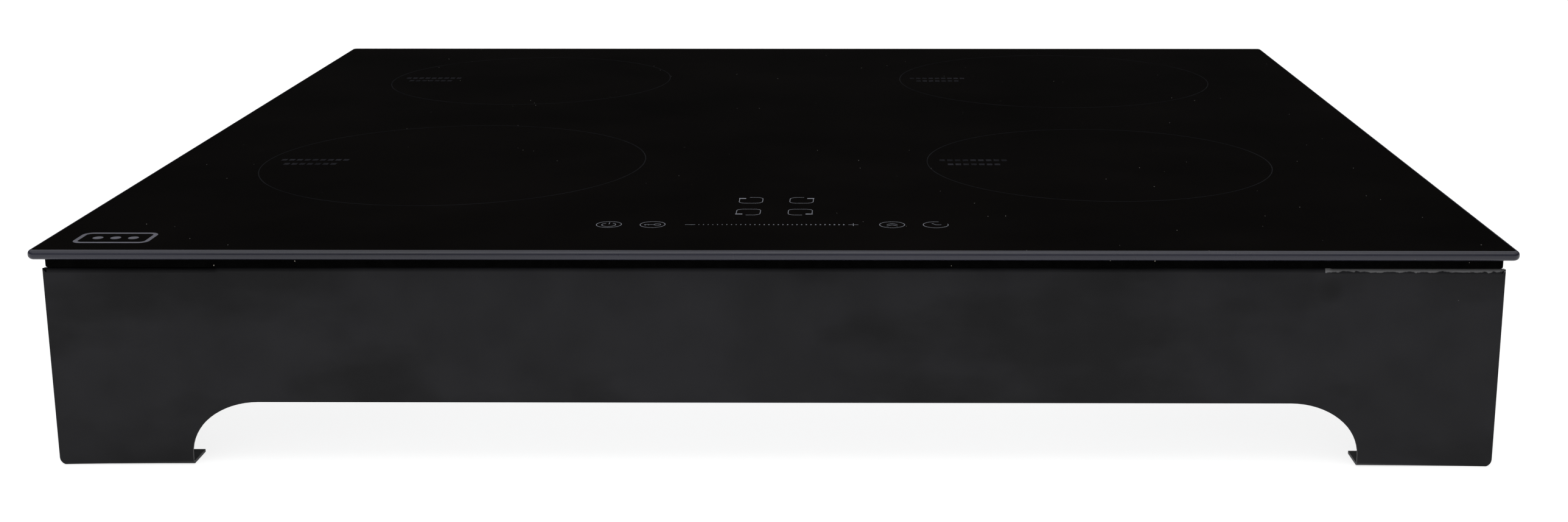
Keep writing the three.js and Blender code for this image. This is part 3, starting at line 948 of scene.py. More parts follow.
@dataclass
class InkPen:
    """Draws printed strokes on the glass, measured in mm from the middle of its front edge."""

    depth: float = 0.04 * MM
    bm: bmesh.types.BMesh = field(default_factory=bmesh.new)

    def spot(self, x: float, y: float) -> Point:
        """A point at the underside of the print."""
        low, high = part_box("glass_top")
        return ((low.x + high.x) / 2 + x * MM, low.y + y * MM, high.z - self.depth)

    def arc(
        self, x: float, y: float, radius: float, width: float, start: float = 0, sweep: float = 360
    ) -> None:
        """A ring or an arc.

        Args:
            x: its centre.
            y: its centre.
            radius: its radius.
            width: the stroke's width.
            start: where it starts, in degrees.
            sweep: how far it goes, in degrees.
        """
        steps = max(4, int(abs(sweep) / 360 * (24 + 2 * radius)))
        turns = math.radians(start), math.radians(sweep)
        add_arc(self.bm, self.spot(x, y), radius * MM, width * MM, self.depth, *turns, steps)

    def line(self, x0: float, y0: float, x1: float, y1: float, width: float) -> None:
        """A straight stroke.

        Args:
            x0: where it starts.
            y0: where it starts.
            x1: where it ends.
            y1: where it ends.
            width: its width.
        """
        length = math.hypot(x1 - x0, y1 - y0) * MM
        turn = math.atan2(y1 - y0, x1 - x0)
        verts = bmesh.ops.create_cube(self.bm, size=1.0)["verts"]
        middle = Vector(self.spot((x0 + x1) / 2, (y0 + y1) / 2)) + Vector((0, 0, self.depth / 2))
        place = Matrix.Translation(middle) @ Matrix.Rotation(turn, 4, "Z")
        moved(self.bm, verts, place @ Matrix.Diagonal((length, width * MM, self.depth, 1)))

    def dot(
        self, x: float, y: float, radius: float, sides: int = 20, turn: float = 0.0, tall: float = 1.0
    ) -> None:
        """A filled disc, or a wedge if it has three sides.

        Args:
            x: its middle.
            y: its middle.
            radius: its radius.
            sides: how many sides it has.
            turn: the angle that it is turned by.
            tall: how many times taller than wide it is.
        """
        made = bmesh.ops.create_cone(
            self.bm, cap_ends=True, segments=sides, radius1=radius * MM, radius2=radius * MM, depth=self.depth
        )
        middle = Vector(self.spot(x, y)) + Vector((0, 0, self.depth / 2))
        stretch = Matrix.Diagonal((1, tall, 1, 1))
        moved(self.bm, made["verts"], Matrix.Translation(middle) @ stretch @ Matrix.Rotation(turn, 4, "Z"))

    def finish(self, name: str, paint: Finish) -> None:
        """Prints the strokes as one piece."""
        bmesh.ops.recalc_face_normals(self.bm, faces=self.bm.faces[:])
        place_piece(name, self.bm, paint)


@dataclass
class GlassPrint:
    """All the marks on the glass, in mm from the middle of its front edge."""

    key_row: float = 43.8
    key_radius: float = 5.2
    line: float = 0.25
    ring_line: float = 0.4
    slider_start: float = -32.2
    slider_end: float = 28.0
    slider_marks: int = 32
    power: float = -69.6
    lock: float = -51.4
    boost: float = 48.1
    timer: float = 66.2
    minus: float = -35.8
    plus: float = 32.0
    sign_half: float = 2.1
    selector_half: tuple[float, float] = (5.1, 5.35)
    selector_corner: float = 2.8
    selector_columns: tuple[float, float] = (-12.8, 9.3)
    selector_rows: tuple[float, float] = (87.9, 66.1)
    label_inset: float = 6.0
    label_row: float = 4.6
    dash_pitch: float = 3.7
    dash: tuple[float, float] = (2.6, 3.6)
    mark_middle: tuple[float, float] = (-266.5, 20.7)
    mark_half: tuple[float, float] = (14.5, 7.6)
    mark_corner: float = 3.0
    mark_line: float = 1.8
    mark_dot: float = 2.1
    mark_pitch: float = 7.2

    def build(self) -> None:
        """Prints everything."""
        for zone in Zone:
            self.zone_ring(zone)
        self.keys()
        self.slider()
        self.selectors()
        self.corner_mark()

    def zone_ring(self, zone: Zone) -> None:
        """The ring of a zone, and inside it two rows of dashes.

        Args:
            zone: the zone.
        """
        middle, size = span_of(f"mica_disc_{zone.value}")
        x, y = middle.x / MM, (middle.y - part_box("glass_top")[0].y) / MM
        radius = size.x / 2 / MM + 2
        ring = InkPen()
        ring.arc(x, y, radius, self.ring_line)
        ring.finish(f"zone_ring_{zone.value}", Paint.FAINT_INK)
        label = InkPen()
        start, (length, tall) = x - radius + self.label_inset, self.dash
        for row, dashes, indent in ((self.label_row, 9, 0.0), (-self.label_row, 7, 3.6)):
            for i in range(dashes):
                left = start + indent + i * self.dash_pitch
                label.line(left, y + row, left + length, y + row, tall)
        label.finish(f"zone_label_{zone.value}", Paint.LABEL_INK)

    def keys(self) -> None:
        """Four round keys: power, lock, boost and timer."""
        pen, y, r, w = InkPen(), self.key_row, self.key_radius, self.line
        power, lock, boost, timer = self.power, self.lock, self.boost, self.timer
        for x in (power, lock, boost):
            pen.arc(x, y, r, w)
        pen.arc(timer, y, r, w, 75, 300)
        pen.arc(power, y - 0.4, 2.9, w, 120, 300)
        pen.line(power, y + 0.6, power, y + 3.6, w)
        pen.arc(lock + 2.0, y, 1.35, w)
        pen.line(lock - 3.6, y, lock + 0.7, y, w)
        pen.line(lock - 3.0, y, lock - 3.0, y - 1.3, w)
        pen.line(lock - 1.6, y, lock - 1.6, y - 1.0, w)
        for lift in (-1.6, 0.9):
            pen.line(boost - 2.2, y + lift - 0.7, boost, y + lift + 1.3, w)
            pen.line(boost, y + lift + 1.3, boost + 2.2, y + lift - 0.7, w)
        pen.line(timer, y, timer - 1.5, y + 2.4, w)
        pen.line(timer, y, timer + 2.3, y, w)
        pen.finish("round_keys", Paint.INK)

    def slider(self) -> None:
        """A minus, a row of marks that grow from dots into wedges, and a plus."""
        pen, y, w = InkPen(), self.key_row, self.line
        minus, plus, half = self.minus, self.plus, self.sign_half
        pen.line(minus - half, y, minus + half, y, w)
        pen.line(plus - half, y, plus + half, y, w)
        pen.line(plus, y - half, plus, y + half, w)
        for i in range(self.slider_marks):
            share = i / (self.slider_marks - 1)
            x = self.slider_start + share * (self.slider_end - self.slider_start)
            if share < 0.5:
                pen.dot(x, y, 0.18 + 0.2 * share, 10, tall=2.2)
            else:
                pen.dot(x, y, 0.28 + 0.2 * share, 3, -math.pi / 2, 2.2)
        pen.finish("slider_marks", Paint.INK)

    def selectors(self) -> None:
        """Four small rounded squares, each open at its own corner, where a bar marks its zone."""
        pen = InkPen()
        for x, side in zip(self.selector_columns, (-1, 1)):
            for y, end in zip(self.selector_rows, (1, -1)):
                self.selector(pen, x, y, side, end)
        pen.finish("zone_selectors", Paint.INK)

    def selector(self, pen: InkPen, x: float, y: float, side: int, end: int) -> None:
        """One selector.

        Args:
            pen: the pen to draw with.
            x: its middle.
            y: its middle.
            side: -1 if its bar is on the left, 1 on the right.
            end: 1 if its bar is at the back, -1 at the front.
        """
        (hx, hy), r, w = self.selector_half, self.selector_corner, self.line
        for cx, cy in ((-1, -1), (-1, 1), (1, -1), (1, 1)):
            if (cx, cy) == (side, end):
                continue
            start = {(1, 1): 0, (-1, 1): 90, (-1, -1): 180, (1, -1): 270}[cx, cy]
            pen.arc(x + cx * (hx - r), y + cy * (hy - r), r, w, start, 90)
        pen.line(x - hx + r, y - end * hy, x + hx - r, y - end * hy, w)
        pen.line(x - side * hx, y - hy + r, x - side * hx, y + hy - r, w)
        pen.line(x - side * (hx - r), y + end * hy, x + side * 0.9, y + end * hy, w)
        pen.line(x + side * hx, y - end * (hy - r), x + side * hx, y + end * 2.9, w)
        pen.line(x + side * (hx + 0.3), y + end * 3.6, x + side * (hx - 2.7), y + end * 3.6, 1.2)

    def corner_mark(self) -> None:
        """A plain picture of a four-zone hob in the front left corner."""
        pen, (x, y), w = InkPen(), self.mark_middle, self.mark_line
        (hx, hy), r = self.mark_half, self.mark_corner
        for cx, cy, start in ((1, 1, 0), (-1, 1, 90), (-1, -1, 180), (1, -1, 270)):
            pen.arc(x + cx * (hx - r), y + cy * (hy - r), r, w, start, 90)
        for s in (-1, 1):
            pen.line(x - hx + r, y + s * hy, x + hx - r, y + s * hy, w)
            pen.line(x + s * hx, y - hy + r, x + s * hx, y + hy - r, w)
        for step in (-1, 0, 1):
            pen.dot(x + step * self.mark_pitch, y, self.mark_dot, 28)
        pen.finish("corner_mark", Paint.MARK_INK)


# ---------------------------------------------------------------- stand


@dataclass
class StandPanel:
    """One folded panel, drawn standing on X with its outer face on y = 0 and its folds towards +Y."""

    node: str
    length: float
    top_fold: float
    foot_inset: float
    top_inset: float
    turn: float
    height: float = 83.2 * MM
    sheet: float = 1.2 * MM
    leg: float = 54.5 * MM
    straight: float = 4.5 * MM
    run: float = 28 * MM
    arch: float = 26.8 * MM
    foot_fold: float = 15 * MM
    corner: float = 3 * MM
    relief: float = 0.5 * MM
    relief_length: float = 70 * MM
    fold_radius: float = 1.9 * MM
    tab: float = 0.0
    notch: tuple[float, float, float] | None = None
    vents: tuple[float, ...] = ()
    slot_width: float = 4 * MM
    slot_levels: tuple[float, float] = (40 * MM, 74 * MM)

    def left_foot(self) -> list[tuple[float, float]]:
        """The outline from the left edge round the foot and up the arch.

        Returns:
            Points as x and z.
        """
        half, arch = self.length / 2, self.length / 2 - self.leg
        points = [(-half, self.corner)]
        for i in range(1, 6):
            a = math.pi + i * math.pi / 10
            points.append((self.corner * (1 + math.cos(a)) - half, self.corner * (1 + math.sin(a))))
        if self.foot_inset > self.corner + 0.2 * MM:
            points.append((self.foot_inset - half, 0))
        points += [(-arch, 0), (-arch, self.straight)]
        rise = self.arch - self.straight
        for i in range(1, 17):
            a = math.pi / 2 * i / 16
            points.append((self.run * (1 - math.cos(a)) - arch, self.straight + rise * math.sin(a)))
        return points

    def notched(self) -> list[tuple[float, float]]:
        """The outline of the cable notch, if there is one.

        Returns:
            Points as x and z.
        """
        if not self.notch:
            return []
        middle, width, top = self.notch
        r = width / 2
        angles = [math.pi * (1 - i / 16) for i in range(17)]
        dome = [(middle + r * math.cos(a), top - r + r * math.sin(a)) for a in angles]
        return [(middle - r, self.arch), *dome, (middle + r, self.arch)]

    def outline(self) -> list[Point]:
        """The panel's outline, anticlockwise from its left foot.

        Returns:
            Points in the plane y = 0.
        """
        low, half = self.height - self.relief, self.length / 2
        level = half - self.relief_length
        inset = [(half - self.top_inset, low)] if self.top_inset > 0 else []
        crown = [(half, low), *inset, (level + 1.5 * MM, low), (level, self.height)]
        foot = self.left_foot()
        points = foot + self.notched()
        points += [(-x, z) for x, z in reversed(foot)] + crown + [(-x, z) for x, z in reversed(crown)]
        return [(x, 0.0, z) for x, z in points]

    def folded(self) -> bmesh.types.BMesh:
        """The outer skin of the panel with its folds, rounded where they are bent.

        Returns:
            An open sheet.
        """
        bm = bmesh.new()
        bm.faces.new([bm.verts.new(p) for p in self.outline()])
        half = self.length / 2

        def spans(edge: bmesh.types.BMEdge, low: float, high: float, inset: float) -> bool:
            """Whether an edge lies between two levels, and within an inset from the ends."""
            a, b = (v.co for v in edge.verts)
            return a.x != b.x and all(low < c.z < high and abs(c.x) < half - inset + TINY for c in (a, b))

        foot_inset, crown = max(self.foot_inset, self.corner), self.height - 1.1 * self.relief
        feet = [e for e in bm.edges if spans(e, -TINY, TINY, foot_inset)]
        top = [e for e in bm.edges if spans(e, crown, self.height + TINY, self.top_inset)]
        for edges, depth in ((feet, self.foot_fold), (top, self.top_fold)):
            made = bmesh.ops.extrude_edge_only(bm, edges=edges)["geom"]
            verts = [g for g in made if isinstance(g, bmesh.types.BMVert)]
            bmesh.ops.translate(bm, vec=(0, depth, 0), verts=verts)
        round_edges(bm, feet + top, self.fold_radius, 5)
        bmesh.ops.recalc_face_normals(bm, faces=bm.faces[:])
        if sum(f.normal.y * f.calc_area() for f in bm.faces) > 0:
            bmesh.ops.reverse_faces(bm, faces=bm.faces[:])
        return bm

    def placed(self) -> Matrix:
        """Where the panel goes in the stand.

        Returns:
            Its turn and its place.
        """
        low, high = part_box(self.node)
        middle = (low + high) / 2
        out = Matrix.Rotation(self.turn, 4, "Z") @ Vector((0, -1, 0))
        face = Vector((
            middle.x if abs(out.x) < 0.5 else (high.x if out.x > 0 else low.x),
            middle.y if abs(out.y) < 0.5 else (high.y if out.y > 0 else low.y),
            0,
        ))
        return Matrix.Translation(face) @ Matrix.Rotation(self.turn, 4, "Z")

    def slot_cutter(self, x: float) -> bpy.types.Object:
        """A round-ended upright bar that cuts one ventilation slot.

        Args:
            x: the slot's middle along the panel.

        Returns:
            The cutting object.
        """
        bm = bmesh.new()
        half_width, (low, high) = self.slot_width / 2, self.slot_levels
        add_box(bm, (x - half_width, -4 * MM, low), (x + half_width, 6 * MM, high))
        ends = [e for e in bm.edges if abs(e.verts[0].co.y - e.verts[1].co.y) > TINY]
        round_edges(bm, ends, half_width * 0.98, 5)
        return as_object("slot_cutter", bm)

    def build(self) -> None:
        """Makes the panel, with tabs behind its ends if it has them."""
        obj = as_object("panel", self.folded())
        cutters = [self.slot_cutter(x) for x in self.vents]
        Wall(self.sheet, 0.18 * MM, 2, cutters=cutters).apply(obj)
        bm = bmesh.new()
        bm.from_mesh(obj.data)
        bpy.data.objects.remove(obj)
        if self.tab:
            for end in (-1, 1):
                near, far = end * self.length / 2, end * (self.length / 2 - self.sheet)
                add_box(
                    bm,
                    (min(near, far), self.sheet + 0.05 * MM, self.sheet + 0.6 * MM),
                    (max(near, far), self.tab, self.height - 2.2 * MM - self.sheet),
                    0.15 * MM,
                )
        bmesh.ops.transform(bm, matrix=self.placed(), verts=bm.verts[:])
        for face in bm.faces:
            face.material_index = 0
        name = f"{self.node}_panel"
        obj = place_piece(name, bm, Paint.COAT, stands_for=[self.node], sharp=50)
        obj.modifiers.new("even_light", "WEIGHTED_NORMAL").keep_sharp = True


@dataclass
class Stand:
    """The four panels."""

    width: float = 582 * MM
    depth: float = 509 * MM
    inset: float = 1.5 * MM
    vents: int = 10
    vent_pitch: float = 11 * MM

    def build(self) -> None:
        """Builds the front, rear and side panels."""
        side_length = self.depth - 2 * self.inset
        cable_x = span_of("cable_gland")[0].x
        fan_x = span_of("fan_rotor_right")[0].x
        steps = [(i - (self.vents - 1) / 2) * self.vent_pitch for i in range(self.vents)]
        vents = tuple(side * fan_x + step for side in (-1, 1) for step in steps)
        StandPanel("stand_front", self.width, 9.5 * MM, self.inset, self.inset, 0.0).build()
        StandPanel(
            "stand_rear", self.width, 9.5 * MM, self.inset, self.inset, math.pi,
            notch=(-cable_x, 36 * MM, 64 * MM), vents=vents,
        ).build()
        for node, turn in (("stand_left", -math.pi / 2), ("stand_right", math.pi / 2)):
            StandPanel(
                node, side_length, 11 * MM, 13.8 * MM, 8.3 * MM, turn, tab=14 * MM,
            ).build()


# ---------------------------------------------------------------- pan, seal and fixings


@dataclass
class Underbody:
    """What is seen from below and through the gaps: pan, seal, gland, clamps, screws and cover."""

    pan_sheet: float = 1.3 * MM
    seal_press: float = 0.8 * MM
    seal_width: float = 10.2 * MM
    bead: float = 1.8 * MM
    bead_half: float = 5 * MM
    bead_lines: tuple[float, ...] = (-90 * MM, 0.0, 90 * MM)
    bead_reach: tuple[float, float] = (-150 * MM, 90 * MM)
    cross_bead: float = -232 * MM
    cross_reach: float = 130 * MM
    head: float = 3.0 * MM
    ribs: int = 5
    rib_pitch: float = 2.2 * MM
    rib_half: float = 9 * MM

    def build(self) -> None:
        """Builds every piece of the underbody."""
        self.seal()
        soften_node("bottom_pan", Paint.ZINC, 0.35 * MM)
        soften_node("cable_gland", Paint.BLACK, 0.4 * MM)
        soften_node("terminal_cover", Paint.BLACK, 0.25 * MM, Body.TERMINAL_DOOR.value)
        self.cover_ribs()
        self.beads()
        self.pan_screws()
        for node in sorted(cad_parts):
            if node.startswith("hob_clamp_"):
                soften_node(node, Paint.PLATED, 0.3 * MM)
            if node.startswith("clamp_screw_"):
                self.clamp_screw(node)

    def pan_floor(self) -> float:
        """The height of the pan's underside."""
        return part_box("fan_housing_left")[0].z - self.pan_sheet

    def seal(self) -> None:
        """A foam strip pressed between the stand's folds and the glass, bulging a little outwards."""
        low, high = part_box("foam_seal")
        bottom, top, press = low.z - 0.6 * MM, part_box("bottom_pan")[1].z - 0.3 * MM, self.seal_press
        bm = bmesh.new()
        add_box(bm, (low.x - press, low.y - press, bottom), (high.x + press, high.y + press, top))
        ends = [f for f in bm.faces if abs(f.normal.z) > 0.9]
        bmesh.ops.inset_individual(bm, faces=ends, thickness=self.seal_width)
        edges = [e for f in ends for e in f.edges]
        bmesh.ops.delete(bm, geom=ends, context="FACES_ONLY")
        bmesh.ops.bridge_loops(bm, edges=edges)
        short = [e for e in bm.edges if e.calc_length() < 5 * MM]
        round_edges(bm, [e for e in short if all(abs(v.co.x) > high.x for v in e.verts)], 1.2 * MM, 4)
        outward(bm)
        wall = Wall(soft=0.5 * MM, segments=3)
        # The seal's finish is darkened past black foam as painted shade in the gap under the glass.
        place_piece("seal_strip", bm, Paint.FOAM_DARKENED_AS_SHADE, stands_for=["foam_seal"], wall=wall)

    def beads(self) -> None:
        """Stiffening beads pressed into the pan's floor."""
        floor, half = self.pan_floor(), self.bead_half
        near, far = self.bead_reach
        spans = [((x - half, near), (x + half, far)) for x in self.bead_lines]
        y, reach = self.cross_bead, self.cross_reach
        spans.append(((-reach, y - half), (reach, y + half)))
        bm = bmesh.new()
        for low, high in spans:
            add_box(bm, (*low, floor - self.bead), (*high, floor + 0.2 * MM))
        round_edges(bm, [e for e in bm.edges if upright(e)], 0.96 * half, 6)
        lower = [e for e in bm.edges if all(v.co.z < floor - self.bead + TINY for v in e.verts)]
        round_edges(bm, lower, self.bead - 0.1 * MM, 4)
        outward(bm)
        place_piece("pan_beads", bm, Paint.ZINC)

    def pan_screws(self) -> None:
        """Pan-head screws in the floor, under the boards and the fans."""
        bm = bmesh.new()
        places = []
        for kind, inset, names in (
            ("power_board_", 6 * MM, ("left", "right")),
            ("filter_", 6 * MM, ("board",)),
            ("fan_housing_", 5 * MM, ("left", "right")),
        ):
            for name in names:
                low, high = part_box(kind + name)
                rows = (low.y + inset, high.y - inset)
                places += [(x, y) for x in (low.x + inset, high.x - inset) for y in rows]
        for x, y in places:
            place = Matrix.Translation((x, y, self.pan_floor())) @ Matrix.Rotation(math.pi, 4, "X")
            self.screw_head(bm, place, self.head)
        outward(bm)
        place_piece("pan_screws", bm, Paint.PLATED, wall=Wall(soft=0.12 * MM))

    @staticmethod
    def screw_head(bm: bmesh.types.BMesh, place: Matrix, radius: float) -> None:
        """Adds a domed head with a round recess, sitting on z = 0 of its place.

        Args:
            bm: the mesh to add to.
            place: where the head goes.
            radius: the head's radius.
        """
        dome = bmesh.ops.create_cone(
            bm, cap_ends=True, segments=24, radius1=radius, radius2=radius * 0.72, depth=radius * 0.6
        )["verts"]
        moved(bm, dome, Matrix.Translation((0, 0, radius * 0.3)))
        top = max((f for v in dome for f in v.link_faces), key=lambda f: f.calc_center_median().z)
        bmesh.ops.inset_individual(bm, faces=[top], thickness=radius * 0.34, depth=0.0)
        bmesh.ops.translate(bm, vec=(0, 0, -radius * 0.3), verts=list(top.verts))
        moved(bm, connected(dome), place)

    def clamp_screw(self, node: str) -> None:
        """A screw through a clamp into the pan's wall, in place of its plain solid.

        Args:
            node: the screw's CAD node.
        """
        middle, size = span_of(node)
        side = 1 if middle.x > 0 else -1
        radius = size.z / 2
        inner, head = middle.x - side * size.x / 2, middle.x + side * (size.x / 2 - radius * 0.6)
        bm = bmesh.new()
        turn = Matrix.Rotation(side * math.pi / 2, 4, "Y")
        self.screw_head(bm, Matrix.Translation((head, middle.y, middle.z)) @ turn, radius)
        shank = bmesh.ops.create_cone(
            bm, cap_ends=True, segments=20, radius1=1.5 * MM, radius2=1.65 * MM, depth=abs(head - inner)
        )["verts"]
        moved(bm, shank, Matrix.Translation(((head + inner) / 2, middle.y, middle.z)) @ turn)
        outward(bm)
        wall = Wall(soft=0.1 * MM)
        place_piece(f"{node}_shape", bm, Paint.PLATED, stands_for=[node], wall=wall)

    def cover_ribs(self) -> None:
        """Grip ribs on the outside of the terminal cover."""
        low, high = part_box("terminal_cover")
        middle, face = (low.x + high.x) / 2, low.z + 0.3 * MM
        bm = bmesh.new()
        for i in range(self.ribs):
            y = high.y - 4 * MM - i * self.rib_pitch
            corners = (
                (middle - self.rib_half, y, face - 0.25 * MM),
                (middle + self.rib_half, y + 0.9 * MM, face + 0.4 * MM),
            )
            add_box(bm, *corners, 0.1 * MM)
        outward(bm)
        place_piece("terminal_cover_ribs", bm, Paint.BLACK, Body.TERMINAL_DOOR.value)


# ---------------------------------------------------------------- coils


@dataclass
class Coil:
    """The parts of one zone between the coil tray and the glass."""

    zone: Zone
    hub: float = 22 * MM
    turn_pitch: float = 2.7 * MM
    wire: float = 1.25 * MM
    bars: int = 8
    bar_half: float = 6 * MM
    spring_turns: int = 5
    spring_wire: float = 0.45 * MM
    spring_steps: int = 20
    travel: float = 3 * MM

    @property
    def name(self) -> str:
        """The zone's name."""
        return self.zone.value

    @property
    def middle(self) -> Vector:
        """The zone's middle, from its mica disc."""
        return span_of(f"mica_disc_{self.name}")[0]

    def build(self) -> None:
        """Builds the winding, ferrites, carrier, mica sheet, sensor and spring."""
        self.winding()
        self.ferrites()
        soften_node(f"coil_carrier_{self.name}", Paint.WHITE, 0.3 * MM)
        soften_node(f"mica_disc_{self.name}", Paint.MICA, 0.08 * MM)
        sensor = f"temperature_sensor_{self.name}"
        soften_node(sensor, Paint.CERAMIC, 0.6 * MM, f"sensor_{self.name}")
        self.spring()

    def winding(self) -> None:
        """Turns of stranded wire, side by side."""
        node = f"coil_winding_{self.name}"
        middle, size = span_of(node)
        centre = (self.middle.x, self.middle.y, middle.z)
        bm = bmesh.new()
        radius = self.hub + self.wire
        while radius < size.x / 2 - self.wire:
            add_hoop(bm, centre, radius, self.wire, 8, 56, 1.25)
            radius += self.turn_pitch
        outward(bm)
        name = f"coil_turns_{self.name}"
        place_piece(name, bm, Paint.COPPER, stands_for=[node], sharp=80)

    def ferrites(self) -> None:
        """Separate bars set in a star."""
        node = f"ferrite_star_{self.name}"
        low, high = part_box(node)
        outer, place = (high.x - low.x) / 2 - 0.4 * MM, Matrix.Translation((self.middle.x, self.middle.y, 0))
        bm = bmesh.new()
        for i in range(self.bars):
            bar = add_box(bm, (self.hub, -self.bar_half, low.z), (outer, self.bar_half, high.z), 0.5 * MM)
            moved(bm, bar, place @ Matrix.Rotation(i * TAU / self.bars, 4, "Z"))
        outward(bm)
        place_piece(f"ferrite_bars_{self.name}", bm, Paint.FERRITE, stands_for=[node])

    def spring(self) -> None:
        """A wound spring under its sensor."""
        node = f"sensor_spring_{self.name}"
        low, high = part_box(node)
        (x, y, _), wire = self.middle, self.spring_wire
        mean, tall = (high.x - low.x) / 2 - wire, high.z - low.z
        steps = self.spring_steps * self.spring_turns
        rise = (0, 0, (tall - 2 * wire) / steps)
        bm = bmesh.new()
        loop = bmesh.ops.create_circle(bm, cap_ends=True, segments=8, radius=wire)["verts"]
        moved(bm, loop, Matrix.Translation((x + mean, y, low.z + wire)) @ UPRIGHT_SECTION)
        rims = {e for v in loop for e in v.link_edges}
        caps = {f for v in loop for f in v.link_faces}
        bmesh.ops.spin(
            bm, geom=[*loop, *rims, *caps], cent=(x, y, 0), axis=(0, 0, 1), dvec=rise,
            angle=TAU * self.spring_turns, steps=steps, use_merge=False, use_duplicate=False,
        )
        outward(bm)
        name = f"sensor_coil_{self.name}"
        obj = place_piece(name, bm, Paint.PLATED, stands_for=[node], sharp=80)
        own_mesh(obj)


# ---------------------------------------------------------------- electronics


@dataclass
class Blower:
    """A housing and a rotor with curved blades."""

    side: str
    blades: int = 32
    blade_sheet: float = 0.9 * MM
    blade_bend: float = 7 * MM
    blade_sweep: float = math.radians(70)
    blade_depth: float = 8.2 * MM
    plate: float = 1.5 * MM
    hub: float = 15 * MM
    hub_top: float = 17 * MM
    rim: float = 2.0 * MM

    def build(self) -> None:
        """Builds the housing and the rotor."""
        soften_node(f"fan_housing_{self.side}", Paint.BLACK, 0.5 * MM)
        node = f"fan_rotor_{self.side}"
        (x, y, _), size = span_of(node)
        low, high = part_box(node)
        radius, tall = size.x / 2, size.z - self.plate
        bm = bmesh.new()
        add_post(bm, (x, y, high.z - self.plate), radius, self.plate, 72)
        add_post(bm, (x, y, low.z + 2 * MM), self.hub, tall - 2 * MM, 48, self.hub_top)
        add_arc(bm, (x, y, low.z), radius - self.rim / 2, self.rim, 1.2 * MM, steps=72)
        for i in range(self.blades):
            self.blade(bm, Vector((x, y, low.z + 1 * MM)), radius, tall - 1 * MM, i)
        outward(bm)
        wall = Wall(soft=0.12 * MM)
        body = Body(f"fan_{self.side}").value
        place_piece(f"{node}_wheel", bm, Paint.BLACK, body, [node], wall)

    def blade(self, bm: bmesh.types.BMesh, foot: Vector, radius: float, height: float, index: int) -> None:
        """Adds one blade, a strip curved one way on the left rotor and the other way on the right.

        Args:
            bm: the mesh to add to.
            foot: the rotor's axis at the blades' foot.
            radius: the blades' outer radius.
            height: the blades' height.
            index: the blade's number.
        """
        hand, half = (-1 if self.side == "left" else 1), self.blade_sheet / 2
        strip = add_box(bm, (-half, 0, 0), (half, 0.1 * MM, height))
        face = max({f for v in strip for f in v.link_faces}, key=lambda f: f.calc_center_median().y)
        bmesh.ops.spin(
            bm, geom=[face, *face.edges, *face.verts], cent=(hand * self.blade_bend, 0, 0), axis=(0, 0, 1),
            angle=-hand * self.blade_sweep, steps=6, use_merge=False, use_duplicate=False,
        )
        place = (
            Matrix.Translation(foot)
            @ Matrix.Rotation(TAU * index / self.blades, 4, "Z")
            @ Matrix.Translation((0, radius - self.blade_depth, 0))
        )
        moved(bm, connected(strip), place)


